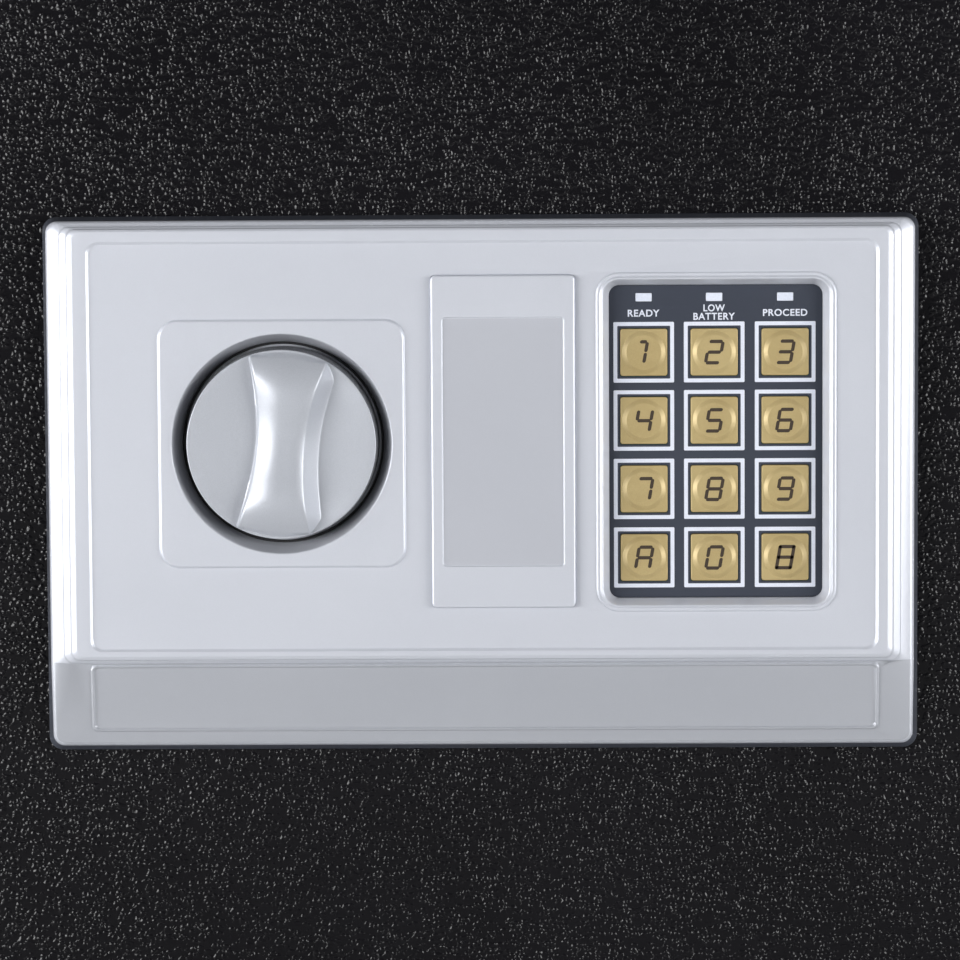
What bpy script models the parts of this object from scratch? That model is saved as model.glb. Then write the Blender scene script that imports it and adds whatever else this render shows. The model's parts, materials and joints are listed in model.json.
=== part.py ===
"""A small electronic safe: a folded steel cabinet, a hinged door with its bolt work and battery box,
and a moulded control panel with a knob, a snap-off key cover and twelve keys.

Metres, +Z up, the front faces -Y. The origin is on the floor, under the middle of the whole safe.
The safe is modelled with its door closed and its bolts drawn back.
"""

import math

import bmesh
import bpy
from mathutils import Matrix, Vector

# ---- Driving dimensions -------------------------------------------------------------------------

GAP = 0.0003                            # between pieces that touch
WIDTH, HEIGHT, DEPTH = 0.350, 0.250, 0.250
KNOB_STANDOUT = 0.014                   # from the door's face to the top of the knob's grip
SHEET = 0.002                           # cabinet steel
THROUGH = 0.004                         # how far a cutter runs past a wall

BACK = (DEPTH + KNOB_STANDOUT) / 2
FRONT = BACK - DEPTH                    # the plane of the door's face and of the front flange
CENTRE_Z = HEIGHT / 2

OPENING_W, OPENING_H = 0.316, 0.216     # in the front flange
JAMB_DEPTH = 0.045
ANCHOR_X = 0.060                        # the anchor holes lie either side of the middle of the back
ANCHOR_RADIUS = 0.005
MAT_THICKNESS = 0.002

DOOR_X = (-0.1565, 0.1550)
DOOR_Z = (CENTRE_Z - 0.1065, CENTRE_Z + 0.1065)
DOOR_THICKNESS = 0.004
HINGE_X, HINGE_DEPTH = 0.143, 0.008     # the door swings about this upright line
HINGE_PIN_RADIUS = 0.003

COVER_X = (-0.148, 0.130)               # the pan behind the door
COVER_Z = (CENTRE_Z - 0.1025, CENTRE_Z + 0.1025)
COVER_DEPTH = 0.044
COVER_SHEET = 0.0015

PANEL_W, PANEL_H = 0.187, 0.1145        # moulded control panel, centred on the door
RIM_LEVEL, STEP_LEVEL, PLATEAU_LEVEL, FACE_LEVEL = 0.0065, 0.0075, 0.0085, 0.0080
SHELL_BACK_LEVEL = 0.0057               # rear of the moulding's face
STRIP_TOP, STRIP_BOTTOM = -0.0385, -PANEL_H / 2
STRIP_LEVELS = (0.0068, 0.0040)         # the lower strip leans back from the first to the second

KNOB_X, KNOB_Z = -0.0429, CENTRE_Z + 0.0083
KNOB_TILT = math.radians(5.4)
KNOB_PAD = 0.0528
KNOB_RECESS_RADIUS = 0.0235
KNOB_RIM_LEVEL = 0.0102
SPINDLE_RADIUS = 0.004
ARM_RADIUS = 0.016                      # from the spindle to the drive pin
ARM_SWING = math.radians(28)            # either side of upright
DRIVE_PIN_RADIUS = 0.0025

LOCK_X, LOCK_Z = 0.0046, CENTRE_Z + 0.0088
KEY_COVER_W, KEY_COVER_H = 0.031, 0.0715
LOCK_RADIUS, PLUG_RADIUS = 0.009, 0.0058

PAD_X, PAD_Z = 0.0502, CENTRE_Z + 0.0085
BEZEL_W, BEZEL_H = 0.0515, 0.0730
WINDOW_W, WINDOW_H = 0.0457, 0.0674     # keypad opening
OVERLAY_LEVELS = (0.0040, 0.0053)
BOARD_LEVELS = (0.0016, 0.0032)
KEY_SIDE, KEY_HOLE = 0.0101, 0.0113
KEY_LEVELS = (0.0039, 0.0055)
KEY_COLUMNS = (0.0348, 0.0499, 0.0651)
KEY_ROWS = (0.0277, 0.01305, -0.0017, -0.0165)
KEY_NAMES = (("1", "2", "3"), ("4", "5", "6"), ("7", "8", "9"), ("a", "0", "b"))
LED_ROW = 0.0395
LED_NAMES = ("led_ready", "led_low_battery", "led_proceed")

BOLT_RADIUS, BOLT_DEPTH, BOLT_SPREAD = 0.009, 0.018, 0.050
BOLT_TIP, BOLT_ROOT = -0.152, -0.1183
CARRIAGE_X = (-0.118, -0.1155)
TONGUE_DEPTHS = (0.0160, 0.0185)
TONGUE_Z = (0.140, 0.157)
BOLT_THROW = 2 * ARM_RADIUS * math.sin(ARM_SWING)

SOLENOID_X, SOLENOID_DEPTH = -0.075, 0.01725
PLUNGER_RADIUS = 0.004
BATTERY_X, BATTERY_Z, BATTERY_DEPTH = 0.084, 0.068, 0.033
BATTERY_RADIUS, BATTERY_LENGTH, BATTERY_PITCH = 0.0071, 0.050, 0.0148
RESET_X, RESET_Z = 0.100, 0.195

# ---- Finishes: colour, roughness, metallic --------------------------------------------------------

BLACK_POWDER = ((0.015, 0.014, 0.017), 0.62, 0.0)
SILVER_PAINT = ((0.62, 0.64, 0.70), 0.38, 0.25)
KNOB_PAINT = ((0.42, 0.43, 0.47), 0.36, 0.35)
OVERLAY_FILM = ((0.055, 0.060, 0.090), 0.45, 0.0)
GOLD_PRINT = ((0.48, 0.36, 0.14), 0.30, 0.55)
PALE_LENS = ((0.72, 0.76, 0.84), 0.25, 0.0)
ZINC = ((0.56, 0.57, 0.58), 0.35, 1.0)
BRIGHT_STEEL = ((0.66, 0.67, 0.69), 0.22, 1.0)
BRASS = ((0.62, 0.45, 0.18), 0.28, 1.0)
COPPER_TAPE = ((0.45, 0.16, 0.06), 0.40, 0.4)
BOARD_GREEN = ((0.03, 0.16, 0.06), 0.45, 0.0)
BLACK_PLASTIC = ((0.020, 0.020, 0.022), 0.50, 0.0)
CELL_WRAP = ((0.06, 0.10, 0.22), 0.30, 0.1)
GREY_FELT = ((0.055, 0.055, 0.060), 0.95, 0.0)
RED_PLASTIC = ((0.50, 0.03, 0.03), 0.40, 0.0)


# ---- Making and joining shapes --------------------------------------------------------------------

def clear_scene():
    for obj in list(bpy.data.objects):
        bpy.data.objects.remove(obj, do_unlink=True)


def new_collection(name):
    collection = bpy.data.collections.new(name)
    bpy.context.scene.collection.children.link(collection)
    return collection


def new_object(name, mesh, finish):
    """A part in a material of its own, or a hidden cutter where the finish is None."""
    obj = bpy.data.objects.new(name, mesh)
    if finish is None:
        cutters.objects.link(obj)
        obj.hide_render = True
        obj.display_type = "WIRE"
        return obj
    parts.objects.link(obj)
    colour, roughness, metallic = finish
    material = bpy.data.materials.new(name)
    material.use_nodes = True
    shader = material.node_tree.nodes["Principled BSDF"]
    shader.inputs["Base Color"].default_value = (*colour, 1.0)
    shader.inputs["Roughness"].default_value = roughness
    shader.inputs["Metallic"].default_value = metallic
    mesh.materials.append(material)
    return obj


def mesh_from(name, bm):
    mesh = bpy.data.meshes.new(name)
    bm.to_mesh(mesh)
    bm.free()
    return mesh


def block(name, x, y, z, finish=None, radius=0.0, along="Y", draft=0.0, segments=4):
    """A box between pairs of limits. Its edges along one axis may be rounded, and draft draws its
    front face in from its sides."""
    low, high = Vector((x[0], y[0], z[0])), Vector((x[1], y[1], z[1]))
    middle = (low + high) / 2
    bm = bmesh.new()
    bmesh.ops.create_cube(bm, size=1.0)
    bmesh.ops.scale(bm, vec=high - low, verts=bm.verts)
    bmesh.ops.translate(bm, vec=middle, verts=bm.verts)
    if radius:
        axis = "XYZ".index(along)
        edges = [e for e in bm.edges if abs((e.verts[0].co - e.verts[1].co).normalized()[axis]) > 0.99]
        bmesh.ops.bevel(bm, geom=edges, offset=radius, segments=segments, profile=0.5, affect="EDGES")
    if draft:
        for vert in bm.verts:
            if vert.co.y < middle.y:
                vert.co.x -= math.copysign(draft, vert.co.x - middle.x)
                vert.co.z -= math.copysign(draft, vert.co.z - middle.z)
    return new_object(name, mesh_from(name, bm), finish)


def rod(name, start, end, radius, finish=None, end_radius=None, sides=24):
    """A cylinder between two points, or a cone where the radius at its end differs."""
    start, end = Vector(start), Vector(end)
    bm = bmesh.new()
    bmesh.ops.create_cone(
        bm,
        cap_ends=True,
        segments=sides,
        radius1=radius,
        radius2=radius if end_radius is None else end_radius,
        depth=(end - start).length,
    )
    turn = (end - start).to_track_quat("Z", "Y").to_matrix().to_4x4()
    bmesh.ops.transform(bm, matrix=Matrix.Translation((start + end) / 2) @ turn, verts=bm.verts)
    obj = new_object(name, mesh_from(name, bm), finish)
    round_off(obj)
    return obj


def turned(name, profile, x, z, finish, sides=48):
    """A piece turned about an axis that points forward from (x, z) on the door's face. The profile
    holds (radius, level) points, down the outer side from the front to the back."""
    mesh = bpy.data.meshes.new(name)
    points = [(radius, 0.0, level) for radius, level in profile]
    open_ended = profile[0][0] == 0.0
    count = len(points)
    edges = [(i, (i + 1) % count) for i in range(count - 1 if open_ended else count)]
    mesh.from_pydata(points, edges, [])
    obj = new_object(name, mesh, finish)
    obj.location = (x, FRONT, z)
    obj.rotation_euler = (math.pi / 2, 0.0, 0.0)
    screw = obj.modifiers.new("turn", "SCREW")
    screw.axis = "Z"
    screw.angle = 2 * math.pi
    screw.steps = sides
    screw.render_steps = sides
    screw.use_merge_vertices = True
    screw.merge_threshold = 0.00001
    return obj


def round_off(obj, angle=math.radians(35)):
    obj.data.shade_smooth()
    obj.data.set_sharp_from_angle(angle=angle)


def combine(obj, others, operation):
    for other in others:
        boolean = obj.modifiers.new(operation.lower(), "BOOLEAN")
        boolean.operation = operation
        boolean.solver = "EXACT"
        boolean.object = other


def cut(obj, *tools):
    combine(obj, tools, "DIFFERENCE")


def join(obj, *helpers):
    combine(obj, helpers, "UNION")


def turn_about(obj, x, z, angle):
    """Turns a shape clockwise, seen from the front, about the forward axis through (x, z)."""
    centre = Matrix.Translation((x, 0.0, z))
    obj.data.transform(centre @ Matrix.Rotation(angle, 4, "Y") @ centre.inverted())


def move_origin(obj, place):
    place = Vector(place)
    obj.data.transform(Matrix.Translation(-place))
    obj.location = place


def pivot(name, place, parent=None):
    """An empty that marks the axis of the pieces hung on it."""
    empty = bpy.data.objects.new(name, None)
    empty.empty_display_size = 0.02
    empty.location = place
    parts.objects.link(empty)
    if parent:
        hang(parent, empty)
    return empty


def hang(parent, *children):
    bpy.context.view_layer.update()
    for child in children:
        child.parent = parent
        child.matrix_parent_inverse = parent.matrix_world.inverted()


def around(centre, half):
    return (centre - half, centre + half)


def forward(back_level, front_level):
    """The Y limits between two levels in front of the door's face."""
    return (FRONT - front_level, FRONT - back_level)


def behind(near, far):
    """The Y limits between two depths behind the door's face."""
    return (FRONT + near, FRONT + far)


def hole(name, x, z, radius, sides=24):
    """A cutter along Y that runs through the door and all that is on it."""
    reach = COVER_DEPTH + 2 * THROUGH
    return rod(name, (x, FRONT - reach, z), (x, FRONT + reach, z), radius, sides=sides)


# ---- Cabinet --------------------------------------------------------------------------------------

def body_shell():
    """Four folded walls and the front flange round the door opening."""
    shell = block("body_shell", around(0.0, WIDTH / 2), (FRONT, BACK), (0.0, HEIGHT),
                  BLACK_POWDER, radius=0.004)
    hollow = block("body_hollow", around(0.0, WIDTH / 2 - SHEET), (FRONT + SHEET, BACK + THROUGH),
                   (SHEET, HEIGHT - SHEET), radius=0.002)
    opening = block("door_opening", around(0.0, OPENING_W / 2), around(FRONT, THROUGH),
                    around(CENTRE_Z, OPENING_H / 2), radius=0.0015, segments=2)
    cut(shell, hollow, opening)
    return shell


def back_plate():
    plate = block("back_plate", around(0.0, WIDTH / 2 - SHEET - GAP), (BACK - SHEET, BACK),
                  (SHEET + GAP, HEIGHT - SHEET - GAP), BLACK_POWDER, radius=0.0015, segments=2)
    for side in (-1, 1):
        centre = side * ANCHOR_X
        cut(plate, rod("anchor_hole", (centre, BACK - 2 * THROUGH, CENTRE_Z),
                       (centre, BACK + THROUGH, CENTRE_Z), ANCHOR_RADIUS))
    return plate


def jambs():
    """The lining of the door opening: the left side is the strike plate, and the top and bottom
    take the hinge pins."""
    y = behind(SHEET + GAP, JAMB_DEPTH)
    side_z = around(CENTRE_Z, OPENING_H / 2)
    inner, outer = OPENING_W / 2 + GAP, OPENING_W / 2 + SHEET
    strike = block("strike_plate", (-outer, -inner), y, side_z, BLACK_POWDER)
    for centre in bolt_heights():
        cut(strike, block("bolt_slot", around(-outer, THROUGH), around(FRONT + BOLT_DEPTH, 0.011),
                          around(centre, 0.011)))
    right = block("jamb_right", (inner, outer), y, side_z, BLACK_POWDER)
    level = (OPENING_H / 2 + GAP, OPENING_H / 2 + SHEET)
    top = block("jamb_top", around(0.0, outer), y, [CENTRE_Z + v for v in level], BLACK_POWDER)
    bottom = block("jamb_bottom", around(0.0, outer), y, [CENTRE_Z - v for v in reversed(level)],
                   BLACK_POWDER)
    for jamb in (top, bottom):
        cut(jamb, rod("hinge_hole", (HINGE_X, FRONT + HINGE_DEPTH, -THROUGH),
                      (HINGE_X, FRONT + HINGE_DEPTH, HEIGHT + THROUGH), HINGE_PIN_RADIUS + 0.0004))
    return strike, right, top, bottom


def floor_mat():
    return block("floor_mat", around(0.0, WIDTH / 2 - 2 * SHEET),
                 (FRONT + JAMB_DEPTH + SHEET, BACK - 2 * SHEET),
                 (SHEET + GAP, SHEET + GAP + MAT_THICKNESS), GREY_FELT)


# ---- Door -----------------------------------------------------------------------------------------

def bolt_heights():
    return (CENTRE_Z + BOLT_SPREAD, CENTRE_Z - BOLT_SPREAD)


def screw_places():
    return [(x, z) for z in (COVER_Z[1] - 0.0125, COVER_Z[0] + 0.0125)
            for x in (COVER_X[0] + 0.010, COVER_X[1] - 0.010)]


def door_plate():
    """The door's steel face, with four welded studs that the rear cover screws to."""
    plate = block("door_plate", DOOR_X, behind(0.0, DOOR_THICKNESS), DOOR_Z, BLACK_POWDER,
                  radius=0.0015, segments=2)
    stud_end = COVER_DEPTH - COVER_SHEET - GAP
    for x, z in screw_places():
        join(plate, rod("cover_stud", (x, FRONT + DOOR_THICKNESS / 2, z), (x, FRONT + stud_end, z),
                        0.004, sides=16))
        cut(plate, rod("stud_bore", (x, FRONT + stud_end - 0.012, z),
                       (x, FRONT + stud_end + THROUGH, z), 0.0022, sides=12))
    cut(plate,
        rod("bush_hole", (KNOB_X, FRONT - THROUGH, KNOB_Z),
            (KNOB_X, FRONT + 2 * THROUGH, KNOB_Z), 0.0074),
        rod("lock_hole", (LOCK_X, FRONT - THROUGH, LOCK_Z),
            (LOCK_X, FRONT + 2 * THROUGH, LOCK_Z), LOCK_RADIUS + 0.0004),
        rod("wire_hole", (PAD_X, FRONT - THROUGH, CENTRE_Z - 0.028),
            (PAD_X, FRONT + 2 * THROUGH, CENTRE_Z - 0.028), 0.006))
    return plate


def mechanism_cover():
    """The pan that closes off the works, open towards the door."""
    cover = block("mechanism_cover", COVER_X, behind(DOOR_THICKNESS + GAP, COVER_DEPTH), COVER_Z,
                  BLACK_POWDER, radius=0.003)
    x = (COVER_X[0] + COVER_SHEET, COVER_X[1] - COVER_SHEET)
    z = (COVER_Z[0] + COVER_SHEET, COVER_Z[1] - COVER_SHEET)
    rear = behind(COVER_DEPTH - THROUGH, COVER_DEPTH + THROUGH)
    cut(cover,
        block("cover_hollow", x, behind(-THROUGH, COVER_DEPTH - COVER_SHEET), z, radius=0.002),
        block("battery_opening", around(BATTERY_X, 0.030), rear, around(BATTERY_Z, 0.0263)),
        rod("reset_hole", (RESET_X, rear[0], RESET_Z), (RESET_X, rear[1], RESET_Z), 0.0035))
    for height in bolt_heights():
        cut(cover, rod("bolt_hole", (COVER_X[0] - THROUGH, FRONT + BOLT_DEPTH, height),
                       (COVER_X[0] + THROUGH, FRONT + BOLT_DEPTH, height), BOLT_RADIUS + 0.0006))
    for place_x, place_z in screw_places():
        cut(cover, rod("screw_hole", (place_x, rear[0], place_z), (place_x, rear[1], place_z),
                       0.0022, sides=12))
    return cover


def cover_screws():
    made = []
    for number, (x, z) in enumerate(screw_places(), 1):
        head = FRONT + COVER_DEPTH + GAP
        screw = rod(f"cover_screw_{number}", (x, head, z), (x, head + 0.0022, z), 0.004, ZINC,
                    end_radius=0.0032, sides=16)
        join(screw, rod("screw_shank", (x, head - 0.010, z), (x, head + 0.001, z), 0.0018, sides=12))
        cut(screw,
            block("drive_slot", around(x, 0.0005), (head + 0.0012, head + THROUGH), around(z, 0.0022)),
            block("drive_slot", around(x, 0.0022), (head + 0.0012, head + THROUGH), around(z, 0.0005)))
        made.append(screw)
    return made


def hinge_parts():
    """A block and a pin at each end of the hinge line."""
    y_axis = FRONT + HINGE_DEPTH
    made = []
    for end, block_z, pin_z in (("top", (0.2090, 0.2300), (0.2105, 0.2400)),
                                ("bottom", (0.0200, 0.0410), (0.0100, 0.0395))):
        carrier = block(f"hinge_block_{end}", around(HINGE_X, 0.009),
                        behind(DOOR_THICKNESS + GAP, 0.0140), block_z, ZINC)
        cut(carrier, rod("pin_bore", (HINGE_X, y_axis, block_z[0] - THROUGH),
                         (HINGE_X, y_axis, block_z[1] + THROUGH), HINGE_PIN_RADIUS + 0.0004))
        pin = rod(f"hinge_pin_{end}", (HINGE_X, y_axis, pin_z[0]), (HINGE_X, y_axis, pin_z[1]),
                  HINGE_PIN_RADIUS, BRIGHT_STEEL)
        made += [carrier, pin]
    return made


# ---- Control panel --------------------------------------------------------------------------------

def panel_body():
    """The outside of the moulding: an outer rim, a step, a plateau and a leaning lower strip."""
    fascia = block("fascia", around(0.0, PANEL_W / 2), forward(GAP, RIM_LEVEL),
                   around(CENTRE_Z, PANEL_H / 2), SILVER_PAINT, radius=0.003, draft=0.001)
    for name, inset, top, low, level in (
        ("panel_step", 0.0039, 0.0552, STRIP_TOP, STEP_LEVEL),
        ("panel_plateau", 0.0056, 0.0542, -0.0377, PLATEAU_LEVEL),
    ):
        join(fascia, block(name, around(0.0, PANEL_W / 2 - inset), forward(RIM_LEVEL / 2, level),
                           (CENTRE_Z + low, CENTRE_Z + top), radius=0.002, draft=0.0003))
    lean = math.atan2(STRIP_LEVELS[0] - STRIP_LEVELS[1], STRIP_TOP - STRIP_BOTTOM)
    wedge = block("strip_wedge", around(0.0, PANEL_W), (-0.010, 0.0), (-0.030, 0.0))
    hinge = Matrix.Translation((0.0, FRONT - STRIP_LEVELS[0], CENTRE_Z + STRIP_TOP))
    wedge.data.transform(hinge @ Matrix.Rotation(lean, 4, "X"))
    face = block("face_recess", (-0.0844, 0.0849), forward(FACE_LEVEL, 2 * FACE_LEVEL),
                 (CENTRE_Z - 0.0364, CENTRE_Z + 0.0515), radius=0.002)
    cut(fascia, wedge, face)
    return fascia


def fascia():
    panel = panel_body()
    inset = 0.0065
    cut(panel,
        block("panel_cavity", around(0.0, PANEL_W / 2 - inset), forward(-THROUGH, SHELL_BACK_LEVEL),
              (CENTRE_Z - 0.0362, CENTRE_Z + 0.0500), radius=0.002),
        block("strip_cavity", around(0.0, PANEL_W / 2 - inset), forward(-THROUGH, 0.0022),
              (CENTRE_Z - 0.0540, CENTRE_Z - 0.0385), radius=0.002))
    join(panel,
         block("knob_pad", around(KNOB_X, KNOB_PAD / 2), forward(0.0070, FACE_LEVEL + 0.0006),
               around(KNOB_Z, KNOB_PAD / 2), radius=0.0043, draft=0.0004),
         block("keypad_bezel", around(PAD_X, BEZEL_W / 2), forward(0.0070, FACE_LEVEL + 0.0008),
               around(PAD_Z, BEZEL_H / 2), radius=0.005, draft=0.0006),
         rod("knob_cup", (KNOB_X, FRONT - 0.0018, KNOB_Z), (KNOB_X, FRONT - 0.0075, KNOB_Z),
             KNOB_RECESS_RADIUS + 0.0015, sides=48))
    pocket_y = forward(0.0069, 2 * FACE_LEVEL)
    cut(panel,
        rod("knob_recess", (KNOB_X, FRONT - 0.0033, KNOB_Z), (KNOB_X, FRONT - 0.0090, KNOB_Z),
            KNOB_RECESS_RADIUS - 0.0008, end_radius=KNOB_RECESS_RADIUS, sides=48),
        rod("spindle_hole", (KNOB_X, FRONT, KNOB_Z), (KNOB_X, FRONT - 0.0060, KNOB_Z), 0.0046),
        block("cover_pocket", around(LOCK_X, KEY_COVER_W / 2 + GAP), pocket_y,
              around(LOCK_Z, KEY_COVER_H / 2 + GAP), radius=0.001, segments=2),
        rod("lock_well", (LOCK_X, FRONT, LOCK_Z), (LOCK_X, FRONT - 0.0090, LOCK_Z), 0.012),
        block("keypad_window", around(PAD_X, WINDOW_W / 2 + 0.0012), forward(0.0050, 0.0098),
              around(PAD_Z, WINDOW_H / 2 + 0.0012), radius=0.0025, draft=-0.0002))
    for z in key_cover_pegs():
        cut(panel, hole("peg_hole", LOCK_X, z, 0.0024, sides=16))
    return panel


def key_cover_pegs():
    return (LOCK_Z + 0.028, LOCK_Z - 0.028)


def override_cover():
    """A push-in plate over the emergency lock, held by two pegs."""
    plate = block("override_cover", around(LOCK_X, KEY_COVER_W / 2), forward(0.0072, 0.0092),
                  around(LOCK_Z, KEY_COVER_H / 2), SILVER_PAINT, radius=0.001, draft=0.0004,
                  segments=2)
    for z in key_cover_pegs():
        join(plate, rod("cover_peg", (LOCK_X, FRONT - 0.0048, z), (LOCK_X, FRONT - 0.0082, z),
                        0.0020, sides=16))
    move_origin(plate, (LOCK_X, FRONT - 0.0072, LOCK_Z))
    return plate


def override_lock():
    """The emergency cam lock: body and nut stay with the door, plug and cam turn together."""
    rear = -0.0240
    body = turned("override_lock_body",
                  [(LOCK_RADIUS, 0.0054), (LOCK_RADIUS, 0.0023), (0.0112, 0.0023), (0.0112, GAP),
                   (LOCK_RADIUS, GAP), (LOCK_RADIUS, rear), (PLUG_RADIUS + GAP, rear),
                   (PLUG_RADIUS + GAP, 0.0054)], LOCK_X, LOCK_Z, ZINC, sides=32)
    nut = rod("lock_nut", (LOCK_X, FRONT + DOOR_THICKNESS + GAP, LOCK_Z),
              (LOCK_X, FRONT + 0.0090, LOCK_Z), 0.014, ZINC, sides=6)
    cut(nut, rod("nut_bore", (LOCK_X, FRONT, LOCK_Z), (LOCK_X, FRONT + 0.013, LOCK_Z),
                 LOCK_RADIUS + 0.0004))
    plug = rod("lock_plug", (LOCK_X, FRONT - 0.0052, LOCK_Z), (LOCK_X, FRONT + 0.0275, LOCK_Z),
               PLUG_RADIUS, BRASS, sides=32)
    cut(plug, block("key_slot", around(LOCK_X, 0.0009), forward(-0.0040, 0.0090),
                    around(LOCK_Z, 0.0038)))
    cam = block("lock_cam", around(LOCK_X, 0.005), behind(0.0278, 0.0303),
                (LOCK_Z - 0.022, LOCK_Z + 0.006), ZINC, radius=0.004)
    for turning in (plug, cam):
        move_origin(turning, (LOCK_X, FRONT, LOCK_Z))
    return body, nut, plug, cam


def key_place(row, column):
    return KEY_COLUMNS[column], CENTRE_Z + KEY_ROWS[row]


def keypad():
    """The overlay, its twelve keys and three indicator windows, and the board behind them."""
    overlay = block("keypad_overlay", around(PAD_X, 0.0250), forward(*OVERLAY_LEVELS),
                    around(PAD_Z, 0.0355), OVERLAY_FILM, radius=0.002)
    board = block("keypad_board", around(PAD_X, 0.0240), forward(*BOARD_LEVELS),
                  around(PAD_Z, 0.0345), BOARD_GREEN)
    made_keys = []
    for row, names in enumerate(KEY_NAMES):
        for column, name in enumerate(names):
            x, z = key_place(row, column)
            cut(overlay, block("key_hole", around(x, KEY_HOLE / 2), forward(0.0030, 0.0070),
                               around(z, KEY_HOLE / 2)))
            made_keys.append(key(f"key_{name}", x, z))
    leds = []
    for x, name in zip(KEY_COLUMNS, LED_NAMES):
        z = CENTRE_Z + LED_ROW
        cut(overlay, block("led_hole", around(x, 0.0021), forward(0.0030, 0.0070), around(z, 0.00125)))
        leds.append(block(name, around(x, 0.00175), forward(BOARD_LEVELS[1] + GAP, 0.0054),
                          around(z, 0.0009), PALE_LENS))
    return overlay, board, made_keys, leds


def key(name, x, z):
    """A square key with a round dome, its origin on the line that it travels along."""
    back, front = KEY_LEVELS
    button = block(name, around(x, KEY_SIDE / 2), forward(back, front), around(z, KEY_SIDE / 2),
                   GOLD_PRINT, radius=0.0006, segments=2)
    join(button, rod("key_dome", (x, FRONT - 0.0050, z), (x, FRONT - 0.0061, z), 0.0049,
                     end_radius=0.0037, sides=24))
    move_origin(button, (x, FRONT - back, z))
    return button


# ---- Knob and bolt work ---------------------------------------------------------------------------

def grip_outline(length, waist, end_width):
    """Half-widths of the grip from end to end: a circular arc on each side, narrowest at the middle."""
    half, dip = length / 2, (end_width - waist) / 2
    radius = (half ** 2 + dip ** 2) / (2 * dip)
    steps = 8
    places = [half * (2 * i / steps - 1) for i in range(steps + 1)]
    return [(s, waist / 2 + radius - math.sqrt(radius ** 2 - s ** 2)) for s in places]


def grip_ridge(length, waist, end_width, levels):
    """The hourglass bar across the knob, upright, as a flat outline with thickness."""
    side = grip_outline(length, waist, end_width)
    outline = [(width, s) for s, width in side] + [(-width, s) for s, width in reversed(side)]
    curve = bpy.data.curves.new("grip_outline", "CURVE")
    curve.dimensions = "2D"
    curve.fill_mode = "BOTH"
    curve.extrude = (levels[1] - levels[0]) / 2
    spline = curve.splines.new("POLY")
    spline.points.add(len(outline) - 1)
    for point, (across, along) in zip(spline.points, outline):
        point.co = (across, along, 0.0, 1.0)
    spline.use_cyclic_u = True
    flat = bpy.data.objects.new("grip_curve", curve)
    flat.location = (KNOB_X, FRONT - (levels[0] + levels[1]) / 2, KNOB_Z)
    flat.rotation_euler = (math.pi / 2, 0.0, 0.0)
    cutters.objects.link(flat)
    bpy.context.view_layer.update()
    solid = bpy.data.meshes.new_from_object(flat.evaluated_get(bpy.context.evaluated_depsgraph_get()))
    solid.transform(flat.matrix_world)
    bpy.data.objects.remove(flat, do_unlink=True)
    bm = bmesh.new()
    bm.from_mesh(solid)
    bmesh.ops.remove_doubles(bm, verts=bm.verts, dist=0.000001)
    bmesh.ops.recalc_face_normals(bm, faces=bm.faces)
    bm.to_mesh(solid)
    bm.free()
    ridge = new_object("grip_ridge", solid, None)
    turn_about(ridge, KNOB_X, KNOB_Z, KNOB_TILT)
    return ridge


def knob():
    """A turned body with two finger hollows, which leave an hourglass grip across its middle."""
    body = turned("knob",
                  [(0.0, KNOB_STANDOUT), (0.0080, 0.0137), (0.0150, 0.0124), (0.0186, KNOB_RIM_LEVEL),
                   (0.0199, KNOB_RIM_LEVEL), (0.0202, KNOB_RIM_LEVEL - 0.0004), (0.0212, 0.0060),
                   (0.0214, 0.0042), (0.0045, 0.0042), (0.0045, 0.0094), (0.0, 0.0094)],
                  KNOB_X, KNOB_Z, KNOB_PAINT)
    hollow = rod("finger_hollows", (KNOB_X, FRONT - 0.0062, KNOB_Z),
                 (KNOB_X, FRONT - 0.0180, KNOB_Z), 0.0172, end_radius=0.0196, sides=48)
    cut(hollow, grip_ridge(0.045, 0.0103, 0.0175, (0.0050, 0.0190)))
    cut(body, hollow)
    return body


def spindle_and_arm():
    """The shaft from the knob through the door, and the arm whose pin drives the bolts."""
    shaft = rod("knob_spindle", (KNOB_X, FRONT - 0.0090, KNOB_Z), (KNOB_X, FRONT + 0.0245, KNOB_Z),
                SPINDLE_RADIUS, BRIGHT_STEEL)
    near, far = 0.0200, 0.0235
    arm = rod("drive_arm", (KNOB_X, FRONT + near, KNOB_Z), (KNOB_X, FRONT + far, KNOB_Z), 0.008, ZINC)
    pin_z = KNOB_Z + ARM_RADIUS
    join(arm,
         block("arm_bar", around(KNOB_X, 0.004), behind(near, far), (KNOB_Z, pin_z)),
         rod("arm_end", (KNOB_X, FRONT + near, pin_z), (KNOB_X, FRONT + far, pin_z), 0.0041),
         rod("drive_pin", (KNOB_X, FRONT + 0.0145, pin_z), (KNOB_X, FRONT + near + 0.001, pin_z),
             DRIVE_PIN_RADIUS, sides=16))
    cut(arm, hole("arm_bore", KNOB_X, KNOB_Z, SPINDLE_RADIUS + 0.0004))
    for piece in [arm] + [boolean.object for boolean in arm.modifiers]:
        turn_about(piece, KNOB_X, KNOB_Z, ARM_SWING)
    for piece in (shaft, arm):
        move_origin(piece, (KNOB_X, FRONT, KNOB_Z))
    return shaft, arm


def spindle_bush():
    inner, outer = SPINDLE_RADIUS + 0.0004, 0.0070
    return turned("spindle_bush",
                  [(outer, -GAP), (outer, -0.0070), (inner, -0.0070), (inner, -GAP)],
                  KNOB_X, KNOB_Z, BLACK_PLASTIC, sides=24)


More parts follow.
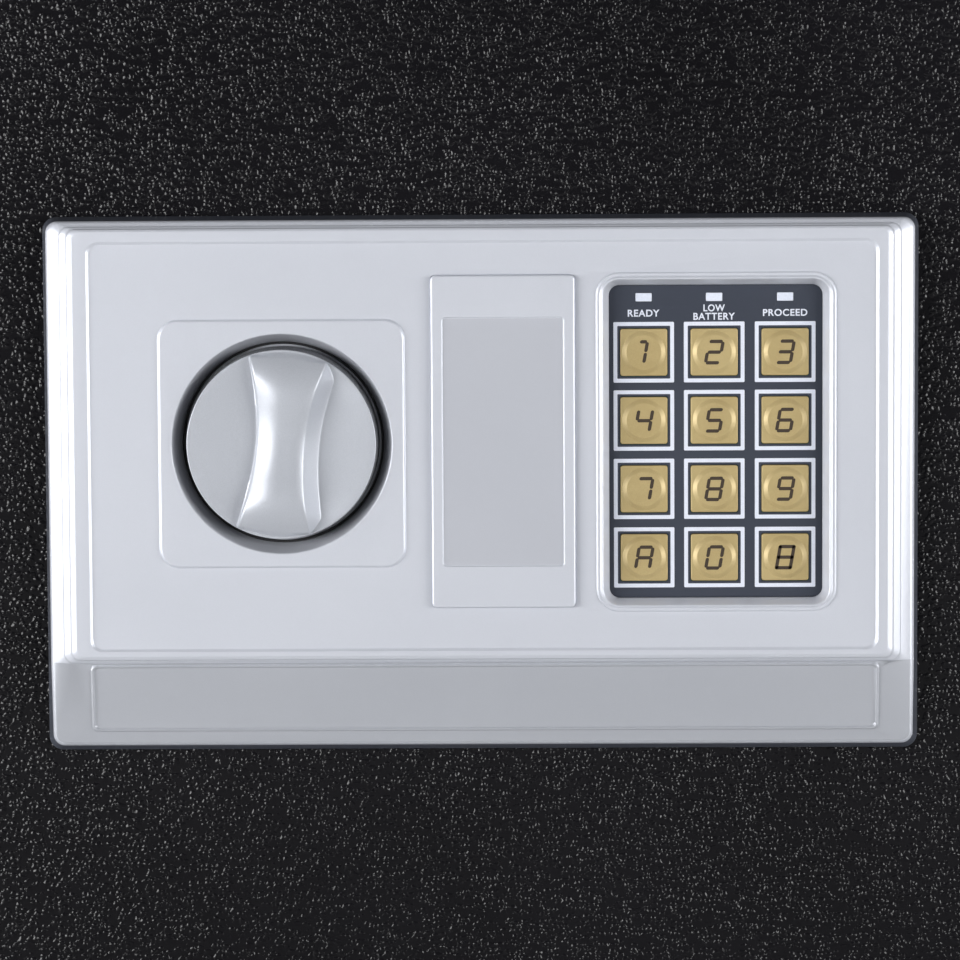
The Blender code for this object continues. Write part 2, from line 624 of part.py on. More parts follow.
def bolt_carriage():
    """A cross bar that carries both bolts, with a tongue that the drive pin and the solenoid work on."""
    bar = block("bolt_carriage", CARRIAGE_X, behind(0.008, 0.028), around(CENTRE_Z, 0.061), ZINC)
    pin_x = KNOB_X + BOLT_THROW / 2
    lowest = ARM_RADIUS * math.cos(ARM_SWING) - DRIVE_PIN_RADIUS
    highest = ARM_RADIUS + DRIVE_PIN_RADIUS
    join(bar, block("tongue", (CARRIAGE_X[0] + 0.001, pin_x + 0.0134), behind(*TONGUE_DEPTHS), TONGUE_Z))
    y = behind(TONGUE_DEPTHS[0] - THROUGH, TONGUE_DEPTHS[1] + THROUGH)
    cut(bar, block("pin_slot", around(pin_x, DRIVE_PIN_RADIUS + 0.0005), y,
                   (KNOB_Z + lowest - 0.0006, KNOB_Z + highest + 0.0006)))
    for x in (SOLENOID_X, SOLENOID_X + BOLT_THROW):
        cut(bar, block("notch", around(x, 0.005), y, (TONGUE_Z[0] - THROUGH, TONGUE_Z[0] + 0.0065)))
    move_origin(bar, (CARRIAGE_X[0], FRONT + BOLT_DEPTH, CENTRE_Z))
    return bar


def bolts():
    made = []
    for name, z in zip(("bolt_upper", "bolt_lower"), bolt_heights()):
        y = FRONT + BOLT_DEPTH
        bolt = rod(name, (BOLT_ROOT, y, z), (BOLT_TIP + 0.0015, y, z), BOLT_RADIUS, BRIGHT_STEEL,
                   sides=32)
        join(bolt, rod("bolt_nose", (BOLT_TIP + 0.0025, y, z), (BOLT_TIP, y, z), BOLT_RADIUS,
                       end_radius=BOLT_RADIUS - 0.0025, sides=32))
        move_origin(bolt, (BOLT_TIP, y, z))
        made.append(bolt)
    return made


def bolt_guide():
    guide = block("bolt_guide", (-0.1390, -0.1365), behind(DOOR_THICKNESS + GAP, 0.0310),
                  around(CENTRE_Z, 0.063), ZINC)
    join(guide, block("guide_foot", (-0.1380, -0.1225), behind(DOOR_THICKNESS + GAP, 0.0063),
                      around(CENTRE_Z, 0.063)))
    for z in bolt_heights():
        cut(guide, rod("guide_bore", (-0.1390 - THROUGH, FRONT + BOLT_DEPTH, z),
                       (-0.1365 + THROUGH, FRONT + BOLT_DEPTH, z), BOLT_RADIUS + 0.0004, sides=32))
    return guide


def solenoid():
    """A frame and a coil on the door, and a sprung plunger that rises into the carriage's notch."""
    x, y = SOLENOID_X, FRONT + SOLENOID_DEPTH
    wide = around(x, 0.013)
    frame = block("solenoid_frame", wide, behind(DOOR_THICKNESS + GAP, 0.0063), (0.101, 0.126), ZINC)
    arms = behind(0.0050, 0.0295)
    join(frame, block("frame_top", wide, arms, (0.124, 0.126)),
         block("frame_foot", wide, arms, (0.101, 0.103)))
    cut(frame, rod("plunger_hole", (x, y, 0.120), (x, y, 0.130), PLUNGER_RADIUS + 0.0005))
    coil = rod("solenoid_coil", (x, y, 0.1033), (x, y, 0.1237), 0.0103, COPPER_TAPE, sides=32)
    cut(coil, rod("coil_bore", (x, y, 0.100), (x, y, 0.128), PLUNGER_RADIUS + 0.0005))
    plunger = rod("solenoid_plunger", (x, y, 0.1045), (x, y, TONGUE_Z[0] - 0.0005),
                  PLUNGER_RADIUS, BRIGHT_STEEL)
    join(plunger, rod("plunger_collar", (x, y, 0.1327), (x, y, 0.1343), 0.0065))
    move_origin(plunger, (x, y, TONGUE_Z[0]))
    return frame, coil, plunger, solenoid_spring(x, y, 0.1263, 0.1324)


def solenoid_spring(x, y, low, high, turns=3, wire=0.0005, radius=0.0053):
    """A compression spring round the plunger, between the frame and the plunger's collar."""
    per_turn = 12
    count = turns * per_turn + 1
    rise = high - low - 2 * wire
    curve = bpy.data.curves.new("solenoid_spring", "CURVE")
    curve.dimensions = "3D"
    curve.bevel_depth = wire
    curve.bevel_resolution = 1
    curve.use_fill_caps = True
    spline = curve.splines.new("POLY")
    spline.points.add(count - 1)
    for i, point in enumerate(spline.points):
        angle = 2 * math.pi * i / per_turn
        height = low + wire + rise * i / (count - 1)
        point.co = (x + radius * math.cos(angle), y + radius * math.sin(angle), height, 1.0)
    return new_object("solenoid_spring", curve, BRIGHT_STEEL)


# ---- Battery box and reset button -----------------------------------------------------------------

def battery_parts():
    half_x, half_z = 0.0317, 0.0279
    tray = block("battery_box", around(BATTERY_X, half_x), behind(0.0240, 0.0422),
                 around(BATTERY_Z, half_z), BLACK_PLASTIC, radius=0.0015, segments=2)
    wall = 0.0016
    cut(tray, block("battery_bay", around(BATTERY_X, half_x - wall), behind(0.0256, 0.0500),
                    around(BATTERY_Z, half_z - wall)))
    cells = [battery(number) for number in range(1, 5)]
    lid = block("battery_door", around(BATTERY_X, 0.0320), behind(COVER_DEPTH + GAP, 0.0462),
                around(BATTERY_Z, 0.0285), BLACK_PLASTIC, radius=0.002)
    join(lid, block("lid_rib", around(BATTERY_X, 0.0294), behind(0.0416, 0.0450),
                    around(BATTERY_Z, 0.0258)))
    move_origin(lid, (BATTERY_X, FRONT + COVER_DEPTH, BATTERY_Z))
    return tray, cells, lid


def battery(number):
    """A round cell with its raised end up or down in turn."""
    x = BATTERY_X + (number - 2.5) * BATTERY_PITCH
    y = FRONT + BATTERY_DEPTH
    up = 1 if number % 2 else -1
    half = BATTERY_LENGTH / 2
    cell = rod(f"battery_{number}", (x, y, BATTERY_Z - up * half),
               (x, y, BATTERY_Z + up * (half - 0.001)), BATTERY_RADIUS, CELL_WRAP, sides=20)
    join(cell, rod("cell_tip", (x, y, BATTERY_Z + up * (half - 0.003)), (x, y, BATTERY_Z + up * half),
                   0.0028, sides=12))
    return cell


def reset_button():
    button = rod("reset_button", (RESET_X, FRONT + 0.0340, RESET_Z),
                 (RESET_X, FRONT + 0.0475, RESET_Z), 0.0030, RED_PLASTIC, sides=20)
    join(button, rod("button_collar", (RESET_X, FRONT + 0.0380, RESET_Z),
                     (RESET_X, FRONT + 0.0405, RESET_Z), 0.0048, sides=20))
    move_origin(button, (RESET_X, FRONT + COVER_DEPTH, RESET_Z))
    return button


# ---- The whole safe -------------------------------------------------------------------------------

clear_scene()
parts = new_collection("safe")
cutters = new_collection("cutters")

body_shell()
back_plate()
jambs()
floor_mat()

door_pivot = pivot("door_pivot", (HINGE_X, FRONT + HINGE_DEPTH, CENTRE_Z))
hang(door_pivot, door_plate(), mechanism_cover(), *cover_screws(), *hinge_parts(), fascia(),
     spindle_bush(), bolt_guide())

knob_pivot = pivot("knob_pivot", (KNOB_X, FRONT, KNOB_Z), door_pivot)
hang(knob_pivot, knob(), *spindle_and_arm())

bolt_slide = pivot("bolt_slide", (BOLT_TIP, FRONT + BOLT_DEPTH, CENTRE_Z), door_pivot)
hang(bolt_slide, bolt_carriage(), *bolts())

lock_body, lock_nut, lock_plug, lock_cam = override_lock()
lock_pivot = pivot("lock_pivot", (LOCK_X, FRONT, LOCK_Z), door_pivot)
hang(door_pivot, lock_body, lock_nut, override_cover())
hang(lock_pivot, lock_plug, lock_cam)

overlay, board, keys, leds = keypad()
hang(door_pivot, overlay, board, *keys, *leds)

hang(door_pivot, *solenoid())

battery_tray, battery_cells, battery_lid = battery_parts()
hang(door_pivot, battery_tray, *battery_cells, battery_lid, reset_button())
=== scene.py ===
# %% [markdown]
# # A small electronic safe
# The steel box, its door and every working piece arrive ready made at their real sizes.
# This script gives them their looks. The moulded front panel, the knob and the keys are
# made again here as finer meshes, and each piece then moves with the body that carries it.

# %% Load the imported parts
import json
import math

import bmesh
import bpy
from mathutils import Matrix, Vector


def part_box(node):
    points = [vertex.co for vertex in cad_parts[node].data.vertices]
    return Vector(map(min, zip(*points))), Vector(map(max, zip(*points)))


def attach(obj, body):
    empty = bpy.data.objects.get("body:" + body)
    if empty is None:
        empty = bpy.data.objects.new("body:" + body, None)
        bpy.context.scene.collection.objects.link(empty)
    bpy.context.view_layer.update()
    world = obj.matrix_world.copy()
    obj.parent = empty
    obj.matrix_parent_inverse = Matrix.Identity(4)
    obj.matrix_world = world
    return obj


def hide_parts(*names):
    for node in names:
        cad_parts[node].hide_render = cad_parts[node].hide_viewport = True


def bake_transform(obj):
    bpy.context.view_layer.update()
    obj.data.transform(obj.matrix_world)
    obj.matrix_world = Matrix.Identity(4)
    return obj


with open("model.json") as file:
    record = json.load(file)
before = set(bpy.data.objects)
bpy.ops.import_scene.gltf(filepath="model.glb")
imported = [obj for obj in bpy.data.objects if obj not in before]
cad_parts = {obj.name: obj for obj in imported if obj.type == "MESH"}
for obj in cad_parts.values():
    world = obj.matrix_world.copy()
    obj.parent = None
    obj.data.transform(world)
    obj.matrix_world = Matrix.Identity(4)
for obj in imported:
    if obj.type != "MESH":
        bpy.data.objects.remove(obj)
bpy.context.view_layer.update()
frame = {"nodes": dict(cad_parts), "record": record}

MM = 0.001
WELD = 0.000002                            # points closer than this, in metres, are one point
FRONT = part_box("door_plate")[0].y          # the face of the door
MIDDLE = sum((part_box("fascia")[i].z for i in (0, 1))) / 2
body_of = {node: body for body, nodes in frame["record"]["behaviour"]["bodies"].items()
           for node in nodes}
slot_of = {entry["node"]: entry["material_slot"] for entry in frame["record"]["subparts"]}
print("door face at", round(FRONT / MM, 1), "mm, panel middle at", round(MIDDLE / MM, 1), "mm")

# %% [markdown]
# ## Camera
# The safe is looked at nearly square on, from a little above and a little to the right, with a
# long lens so that the panel keeps its proportions. Placing the camera by its own three axes
# lets it roll by a third of a degree, which one aimed by a constraint could not do.

# %% Camera
DISTANCE, YAW, PITCH, ROLL = 0.85, math.radians(-0.88), math.radians(-4.61), math.radians(-0.33)
SENSOR, FOCAL_SHARE = 36.0, 3939 / 960     # the lens's focal length is a share of the sensor's width
CAMERA_RIGHT, CAMERA_UP = 0.0125, 0.0685   # from the middle of the panel
camera_data = bpy.data.cameras.new("studio_camera")
camera_data.sensor_width = SENSOR
camera_data.lens = SENSOR * FOCAL_SHARE
camera_data.clip_start = 0.01
camera = bpy.data.objects.new("studio_camera", camera_data)
bpy.context.scene.collection.objects.link(camera)
forward = Vector((math.sin(YAW) * math.cos(PITCH), math.cos(YAW) * math.cos(PITCH), math.sin(PITCH)))
level_right = forward.cross(Vector((0, 0, 1))).normalized()
level_up = level_right.cross(forward)
right = math.cos(ROLL) * level_right + math.sin(ROLL) * level_up
up = math.cos(ROLL) * level_up - math.sin(ROLL) * level_right
turn = Matrix((right, up, -forward)).transposed().to_4x4()
camera.matrix_world = Matrix.Translation((CAMERA_RIGHT, FRONT - DISTANCE, MIDDLE + CAMERA_UP)) @ turn
bpy.context.scene.camera = camera
print("lens", round(camera_data.lens), "mm at", DISTANCE, "m")

# %% [markdown]
# ## Light
# Satin silver plastic shows its edges by what it mirrors. Two wide soft boxes stand low, left and
# right of the safe, so the upright edges catch a bright line and the tops of the steps stay dark.
# The pale floor throws light up under the edges, and a dim grey world fills the rest. The plain
# Standard view keeps silver and white as bright as they are.

# %% Light
def soft_box(name, place, target, width, height, power):
    """A rectangular area light facing its target."""
    light = bpy.data.lights.new(name, "AREA")
    light.shape, light.size, light.size_y, light.energy = "RECTANGLE", width, height, power
    lamp = bpy.data.objects.new(name, light)
    aim = (Vector(target) - Vector(place)).to_track_quat("-Z", "Y").to_matrix().to_4x4()
    lamp.matrix_world = Matrix.Translation(place) @ aim
    bpy.context.scene.collection.objects.link(lamp)


door_centre = (0.0, FRONT, MIDDLE)
soft_box("left_box", (-1.05, -0.85, 0.14), door_centre, 1.05, 0.50, 22.0)
soft_box("right_box", (1.10, -0.85, 0.14), door_centre, 0.95, 0.50, 17.0)
soft_box("back_box", (0.6, 1.9, 1.2), (0.0, 0.1, 0.1), 1.2, 1.0, 20.0)

world = bpy.data.worlds.new("grey_room")
world.use_nodes = True
world.node_tree.nodes["Background"].inputs["Color"].default_value = (0.80, 0.82, 0.86, 1.0)
world.node_tree.nodes["Background"].inputs["Strength"].default_value = 0.16
bpy.context.scene.world = world
bpy.context.scene.view_settings.view_transform = "Standard"
print("three soft boxes and a grey room")

# %% [markdown]
# ## A way to write finishes
# A finish is a small network of nodes. Written by hand it is long and hard to read, so a Wire
# stands for the value on one link, and ordinary sums on wires add the Math nodes.

# %% Wires
def sum_of(operation, swapped=False):
    """The method behind one of Python's signs: it adds a Math node."""
    def method(self, *other):
        return self.math(operation, *((*other, self) if swapped else (self, *other)))
    return method


class Wire:
    """The value on one link of a finish."""

    def __init__(self, finish, socket):
        self.finish, self.socket = finish, socket

    def math(self, operation, *values):
        return self.finish.add("ShaderNodeMath", {"operation": operation}, dict(enumerate(values)))

    __add__ = __radd__ = sum_of("ADD")
    __sub__, __rsub__ = sum_of("SUBTRACT"), sum_of("SUBTRACT", swapped=True)
    __mul__ = __rmul__ = sum_of("MULTIPLY")
    __truediv__, __pow__ = sum_of("DIVIDE"), sum_of("POWER")
    __abs__, __lt__ = sum_of("ABSOLUTE"), sum_of("LESS_THAN")

    def clamped(self):
        return self.math("MINIMUM", self.math("MAXIMUM", self, 0.0), 1.0)

    def eased(self, low, high):
        """0 below low, 1 above high, and a smooth rise between."""
        settings = {"interpolation_type": "SMOOTHSTEP"}
        return self.finish.add("ShaderNodeMapRange", settings, {0: self, 1: low, 2: high})


print("wires can be added, subtracted, multiplied, divided and compared")

# %% [markdown]
# A Finish is one named material. Nodes that are not sums go through its add method, which sets a
# node's choices first and then fills its sockets. Colours are blended by a Mix node, because a
# Math node would turn them grey, and sizes are in millimetres so that they can be measured.

# %% Finishes as objects
class Finish:
    """A named material with one Principled shader."""

    def __init__(self, name, colour, rough, **constants):
        self.material = bpy.data.materials.new(name)
        self.material.use_nodes = True
        self.tree = self.material.node_tree
        self.shader = self.tree.nodes["Principled BSDF"]
        self.set("Base Color", (*colour, 1.0))
        self.set("Roughness", rough)
        for key, value in constants.items():
            self.set(key.replace("_", " "), value)

    def fill(self, socket, value):
        if isinstance(value, Wire):
            self.tree.links.new(value.socket, socket)
        else:
            socket.default_value = value

    def set(self, name, value):
        self.fill(self.shader.inputs[name], value)

    def add(self, kind, settings=None, values=None, output=0):
        node = self.tree.nodes.new(kind)
        for name, value in (settings or {}).items():
            setattr(node, name, value)
        for key, value in (values or {}).items():
            self.fill(node.inputs[key], value)
        return Wire(self, node.outputs[output])

    def place(self):
        """Where a point is on its piece, in millimetres."""
        spot = self.add("ShaderNodeTexCoord", output="Object")
        return self.add("ShaderNodeVectorMath", {"operation": "SCALE"}, {0: spot, "Scale": 1000.0})

    def noise(self, size, detail=2.0, rough=0.5, where=None):
        """Cloudy noise around 0.5, its blobs about size millimetres apart."""
        values = {"Vector": where or self.place(), "Scale": 1.0 / size, "Detail": detail, "Roughness": rough}
        return self.add("ShaderNodeTexNoise", None, values)

    def cells(self, size, where=None):
        """Distance from the nearest of many scattered points, as a share of their spacing."""
        return self.add("ShaderNodeTexVoronoi", None,
                        {"Vector": where or self.place(), "Scale": 1.0 / size})

    def mix(self, share, first, second):
        """The colour between two colours."""
        def full(c):
            return c if isinstance(c, Wire) else (*c, 1.0)
        return self.add("ShaderNodeMix", {"data_type": "RGBA"},
                        {0: share, 6: full(first), 7: full(second)}, output=2)

    def bump(self, height, depth, strength=1.0):
        """Dents and rises up to depth millimetres, which light sees but the outline does not."""
        self.set("Normal", self.add("ShaderNodeBump", None, {
            "Strength": strength, "Distance": depth * MM, "Height": height}))
        return self


print("a finish starts with a Principled shader, and bumps are given in millimetres")

# %% [markdown]
# ## Finishes
# Each finish starts from what the real surface is: powder that melted into a pebbled skin, paint
# with metal flake over moulded plastic, plated steel with fine scratches, film, felt. Colour and
# roughness drift a little everywhere, because no factory surface is perfectly even.

# %% Painted and moulded finishes
def powder_coat():
    """Black powder coat: a skin of low round pebbles, some of them tall enough to catch the light."""
    coat = Finish("powder_black", (0.0055, 0.0052, 0.0065), 0.26)
    coat.set("Specular IOR Level", 0.27)
    drifted = coat.add("ShaderNodeVectorMath", {"operation": "MULTIPLY_ADD"}, {
        0: coat.add("ShaderNodeTexNoise", None, {"Vector": coat.place(), "Scale": 0.45}, output="Color"),
        1: (1.5, 1.5, 1.5), 2: coat.place()})  # so that the pebbles do not lie in an even net
    domes = 1.0 - (coat.cells(1.15, where=drifted) / 0.60).clamped() ** 2
    pores = coat.noise(0.45, detail=2.0)
    tall = coat.noise(2.2).eased(0.36, 0.62)
    crowd = coat.noise(60.0, detail=2.0).eased(0.30, 0.62)
    coat.set("Base Color", coat.mix(coat.noise(45.0), (0.0024, 0.0022, 0.0030),
                                    (0.0056, 0.0052, 0.0068)))
    coat.set("Roughness", 0.15 + 0.12 * pores)
    return coat.bump(domes * (0.60 + 0.26 * tall + 0.20 * crowd) + 0.05 * pores, 0.185)


def silver_paint(name, dark, light, rough, metallic, fleck):
    """Metal flake paint over moulded plastic."""
    paint = Finish(name, light, rough, Metallic=metallic)
    flake = paint.noise(0.22, detail=2.0)
    drift = paint.noise(30.0, detail=2.0)
    share = (drift - 0.5) * 0.5 + (flake - 0.5) * fleck + 0.6
    paint.set("Base Color", paint.mix(share.clamped(), dark, light))
    paint.set("Roughness", (rough - 0.05) + 0.10 * flake)
    return paint.bump(flake * 0.6 + paint.noise(0.8) * 0.4, 0.012)


def grained(name, dark, light, rough, spread, grain, depth, drift=None, **constants):
    """A moulded or printed surface: fine grain in its shine, and slow clouds in its colour."""
    made = Finish(name, light, rough, **constants)
    fine = made.noise(grain, detail=3.0)
    made.set("Base Color", made.mix(made.noise(drift) if drift else fine, dark, light))
    made.set("Roughness", (rough - spread / 2) + spread * fine)
    return made.bump(fine, depth)


def shades(colour, darker, lighter):
    return [c * darker for c in colour], [min(1.0, c * lighter) for c in colour]


def moulded_plastic(name, colour, rough):
    """Plastic with the fine spark grain of its mould."""
    return grained(name, *shades(colour, 0.8, 1.2), rough, 0.16, 0.25, 0.02, drift=20.0)


SILVERS = {                                # dark and light colour, roughness, metal, fleck
    "panel_silver": ((0.555, 0.575, 0.635), (0.64, 0.66, 0.72), 0.37, 0.27, 0.5),
    "knob_silver": ((0.40, 0.42, 0.46), (0.53, 0.55, 0.60), 0.40, 0.30, 0.8),
    # the knob's side: its dark colour is painted shade, the shadow deep in the cup; its flecks are the rough
    # casting
    "knob_side_painted_shade": ((0.020, 0.021, 0.024), (0.28, 0.29, 0.31), 0.50, 0.30, 3.0),
    # the panel's side wall: near-black, painted shade for the dark that it mirrors
    "wall_painted_shade": ((0.060, 0.065, 0.085), (0.12, 0.13, 0.16), 0.30, 0.35, 0.6),
    # the cover's sunken field: darker silver, painted shade for the dimmer middle of the panel
    "field_painted_shade": ((0.455, 0.47, 0.52), (0.525, 0.54, 0.59), 0.38, 0.25, 0.4),
    # the leaning strip: the same paint darkened, painted shade for its tilt away from the light
    "strip_painted_shade": ((0.40, 0.415, 0.455), (0.455, 0.47, 0.51), 0.36, 0.28, 0.5),
}
finishes = {"powder_black": powder_coat()}
finishes.update({name: silver_paint(name, *look) for name, look in SILVERS.items()})
finishes["black_plastic"] = moulded_plastic("black_plastic", (0.018, 0.018, 0.020), 0.48)
finishes["red_plastic"] = moulded_plastic("red_plastic", (0.42, 0.025, 0.022), 0.36)
print("painted and moulded:", ", ".join(finishes))


# %% [markdown]
# Bare metal is told by how it was made. Zinc plate is cloudy and a little yellow, ground steel
# has fine lines along the way it was ground, and brass darkens where hands do not reach.

# %% Metals
def metal(name, dark, light, rough, grind, along):
    """Bare metal: clouds in the colour, and scratches stretched along one axis."""
    bare = Finish(name, light, rough, Metallic=1.0)
    stretch = [6.0 if axis == along else 0.35 for axis in "XYZ"]
    where = bare.add("ShaderNodeVectorMath", {"operation": "DIVIDE"}, {0: bare.place(), 1: stretch})
    lines = bare.noise(1.0, detail=4.0, rough=0.7, where=where)
    clouds = bare.noise(6.0, detail=4.0, rough=0.6)
    bare.set("Base Color", bare.mix(clouds.eased(0.3, 0.7), dark, light))
    bare.set("Roughness", (rough - 0.08) + 0.12 * lines + 0.06 * clouds)
    return bare.bump(lines, grind)


finishes.update({
    "zinc": metal("zinc_plate", (0.42, 0.42, 0.40), (0.60, 0.60, 0.57), 0.34, 0.008, "Z"),
    "bright_steel": metal("ground_steel", (0.55, 0.56, 0.58), (0.70, 0.71, 0.73), 0.22, 0.006, "X"),
    "brass": metal("brass", (0.42, 0.28, 0.09), (0.66, 0.48, 0.19), 0.28, 0.006, "Y"),
})
print("metals: zinc_plate, ground_steel, brass")


# %% [markdown]
# The keypad is a printed film. Its slate ground is matt, the key tops are printed in gold ink
# over silver, and the lamps shine through small pale windows. Inside the door are wound tape,
# a green circuit board and wrapped cells, and the floor of the safe is covered with felt.

# %% Film, tape, board, cells and felt
def key_gold():
    gold = Finish("key_gold", (0.56, 0.44, 0.21), 0.42, Metallic=0.22)
    grain = gold.noise(0.18, detail=3.0)
    drift = gold.noise(9.0)
    gold.set("Base Color", gold.mix((0.5 * grain + 0.5 * drift).eased(0.3, 0.7),
                                    (0.420, 0.320, 0.145), (0.495, 0.388, 0.187)))
    gold.set("Roughness", 0.36 + 0.14 * grain)
    return gold.bump(grain, 0.006)


def printed(name, colour, rough):
    """Ink: flat colour with the faint mottle of screen printing."""
    return grained(name, *shades(colour, 0.88, 1.08), rough, 0.12, 0.30, 0.004)


TAPE_TURN = 4.2                            # from one turn of tape to the next


def coil_tape():
    """Amber tape in overlapping turns round the coil."""
    tape = Finish("coil_tape", (0.40, 0.15, 0.03), 0.32)
    height = tape.add("ShaderNodeSeparateXYZ", None, {0: tape.place()}, output=2)
    turns = height / TAPE_TURN
    turn_edge = turns.math("FRACT", turns)
    edge = 1.0 - turn_edge.eased(0.0, 0.08)
    tape.set("Base Color", tape.mix(edge.clamped(), (0.42, 0.16, 0.035), (0.22, 0.07, 0.015)))
    tape.set("Roughness", 0.26 + 0.14 * tape.noise(0.6))
    return tape.bump(turn_edge, 0.06)


def board_green():
    """Solder mask over copper tracks, with the bare glass weave showing faintly."""
    board = Finish("board_green", (0.012, 0.10, 0.035), 0.34)
    tracks = board.add("ShaderNodeTexBrick", {"offset": 0.5}, {
        "Vector": board.place(), "Scale": 0.20, "Mortar Size": 0.03}, output="Fac")
    weave = board.noise(0.5, detail=2.0)
    board.set("Base Color", board.mix(tracks, (0.010, 0.085, 0.030), (0.022, 0.17, 0.060)))
    board.set("Roughness", 0.26 + 0.16 * weave)
    return board.bump(tracks + 0.3 * weave, 0.03)


def cell_wrap():
    """The shrunk sleeve of a battery cell, dark blue with a pale band."""
    wrap = Finish("cell_wrap", (0.03, 0.06, 0.16), 0.24)
    height = wrap.add("ShaderNodeSeparateXYZ", None, {0: wrap.place()}, output=2)
    band = abs(height - 82.0) < 4.0
    wrap.set("Base Color", wrap.mix(band, (0.022, 0.045, 0.13), (0.50, 0.50, 0.48)))
    wrap.set("Roughness", 0.20 + 0.12 * wrap.noise(3.0))
    return wrap.bump(wrap.noise(1.5, detail=2.0), 0.02)


def felt():
    """Needled felt: fibres lying every way over soft lumps."""
    grey = Finish("felt_grey", (0.055, 0.055, 0.060), 0.95, Sheen_Weight=0.35, Sheen_Roughness=0.5)
    bent = grey.add("ShaderNodeVectorMath", {"operation": "MULTIPLY"},
                    {0: grey.place(), 1: (1.0, 0.3, 1.0)})
    fibres = grey.noise(0.35, detail=6.0, rough=0.75, where=bent)
    lumps = grey.noise(3.5, detail=3.0)
    grey.set("Base Color", grey.mix((0.6 * fibres + 0.4 * lumps).eased(0.35, 0.65),
                                    (0.030, 0.030, 0.034), (0.090, 0.090, 0.098)))
    grey.set("Roughness", 0.86 + 0.12 * fibres)
    return grey.bump(0.7 * fibres + 0.5 * lumps, 0.35)


finishes.update({
    "key_gold": key_gold(),
    "overlay_film": grained("overlay_film", (0.029, 0.035, 0.052), (0.038, 0.045, 0.064), 0.43, 0.14, 0.20,
                            0.008, drift=25.0),
    "coil_tape": coil_tape(),
    "board_green": board_green(),
    "cell_wrap": cell_wrap(),
    "felt_grey": felt(),
    "lens_pale": printed("lens_pale", (0.66, 0.70, 0.80), 0.22),
    "white_ink": printed("white_ink", (0.68, 0.71, 0.80), 0.42),
    "digit_ink": printed("digit_ink", (0.036, 0.022, 0.012), 0.62),
})
print(len(finishes), "finishes")

# %% [markdown]
# ## Floor
# The safe stands on a plain pale floor. It is only a stage, so it rides on nothing. Every mesh in
# this script is put into the scene by the same few lines, so they are a helper from here on.

# %% Floor
def placed(name, mesh, material):
    """A new object in the scene with a mesh and one material."""
    made = bpy.data.objects.new(name, mesh)
    bpy.context.scene.collection.objects.link(made)
    mesh.materials.append(material)
    return made


def mesh_from(name, bm):
    mesh = bpy.data.meshes.new(name)
    bm.to_mesh(mesh)
    bm.free()
    return mesh


REACH, JUST_UNDER = 4.0, -0.0005           # half the floor's side, and its height, in metres
floor_mesh = bpy.data.meshes.new("studio_floor")
floor_mesh.from_pydata([(x, y, JUST_UNDER) for x, y in ((-REACH, -REACH), (REACH, -REACH), (REACH, REACH),
                                                        (-REACH, REACH))], [], [(0, 1, 2, 3)])
pale = Finish("pale_floor", (0.62, 0.62, 0.61), 0.7)
pale.set("Base Color", pale.mix(pale.noise(400.0, detail=3.0), (0.70, 0.70, 0.69), (0.76, 0.76, 0.75)))
placed("studio_floor", floor_mesh, pale.material)
print("floor", 2 * REACH, "m square")

# %% [markdown]
# ## Meshes made from loops
# A moulding is easiest to think of as a set of closed loops, each a little further in and a
# little higher than the last, like the contour lines of a map. Loops with the same number of
# points are bridged with four-sided faces, and flat ground between loops is filled at once.

# %% Loops
def rounded(left, right, bottom, top, radius, steps=6):
    """Points round a rounded rectangle, anticlockwise, from the lower right corner."""
    points = []
    for number, (x, z) in enumerate(((right - radius, bottom + radius), (right - radius, top - radius),
                                     (left + radius, top - radius), (left + radius, bottom + radius))):
        for step in range(steps + 1):
            angle = math.radians(90.0 * (number - 1 + step / steps))
            points.append((x + radius * math.cos(angle), z + radius * math.sin(angle)))
    return points


def framed(x, z, width, height, radius, inset=0.0, steps=6):
    """A rounded rectangle about a centre, drawn in by inset all round."""
    w, h = width / 2 - inset, height / 2 - inset
    return rounded(x - w, x + w, z - h, z + h, max(radius - inset, 0.15), steps)


def circle(x, z, radius, count=64):
    angles = [2 * math.pi * i / count for i in range(count)]
    return [(x + radius * math.cos(angle), z + radius * math.sin(angle)) for angle in angles]


print("a rounded rectangle has", len(rounded(0, 4, 0, 3, 1)), "points and a circle", len(circle(0, 0, 1)))

# %% [markdown]
# A Skin collects such loops into one mesh. It works in millimetres right of, above and in front
# of the middle of the door's face, and its last method makes the piece, its finish and its ride.

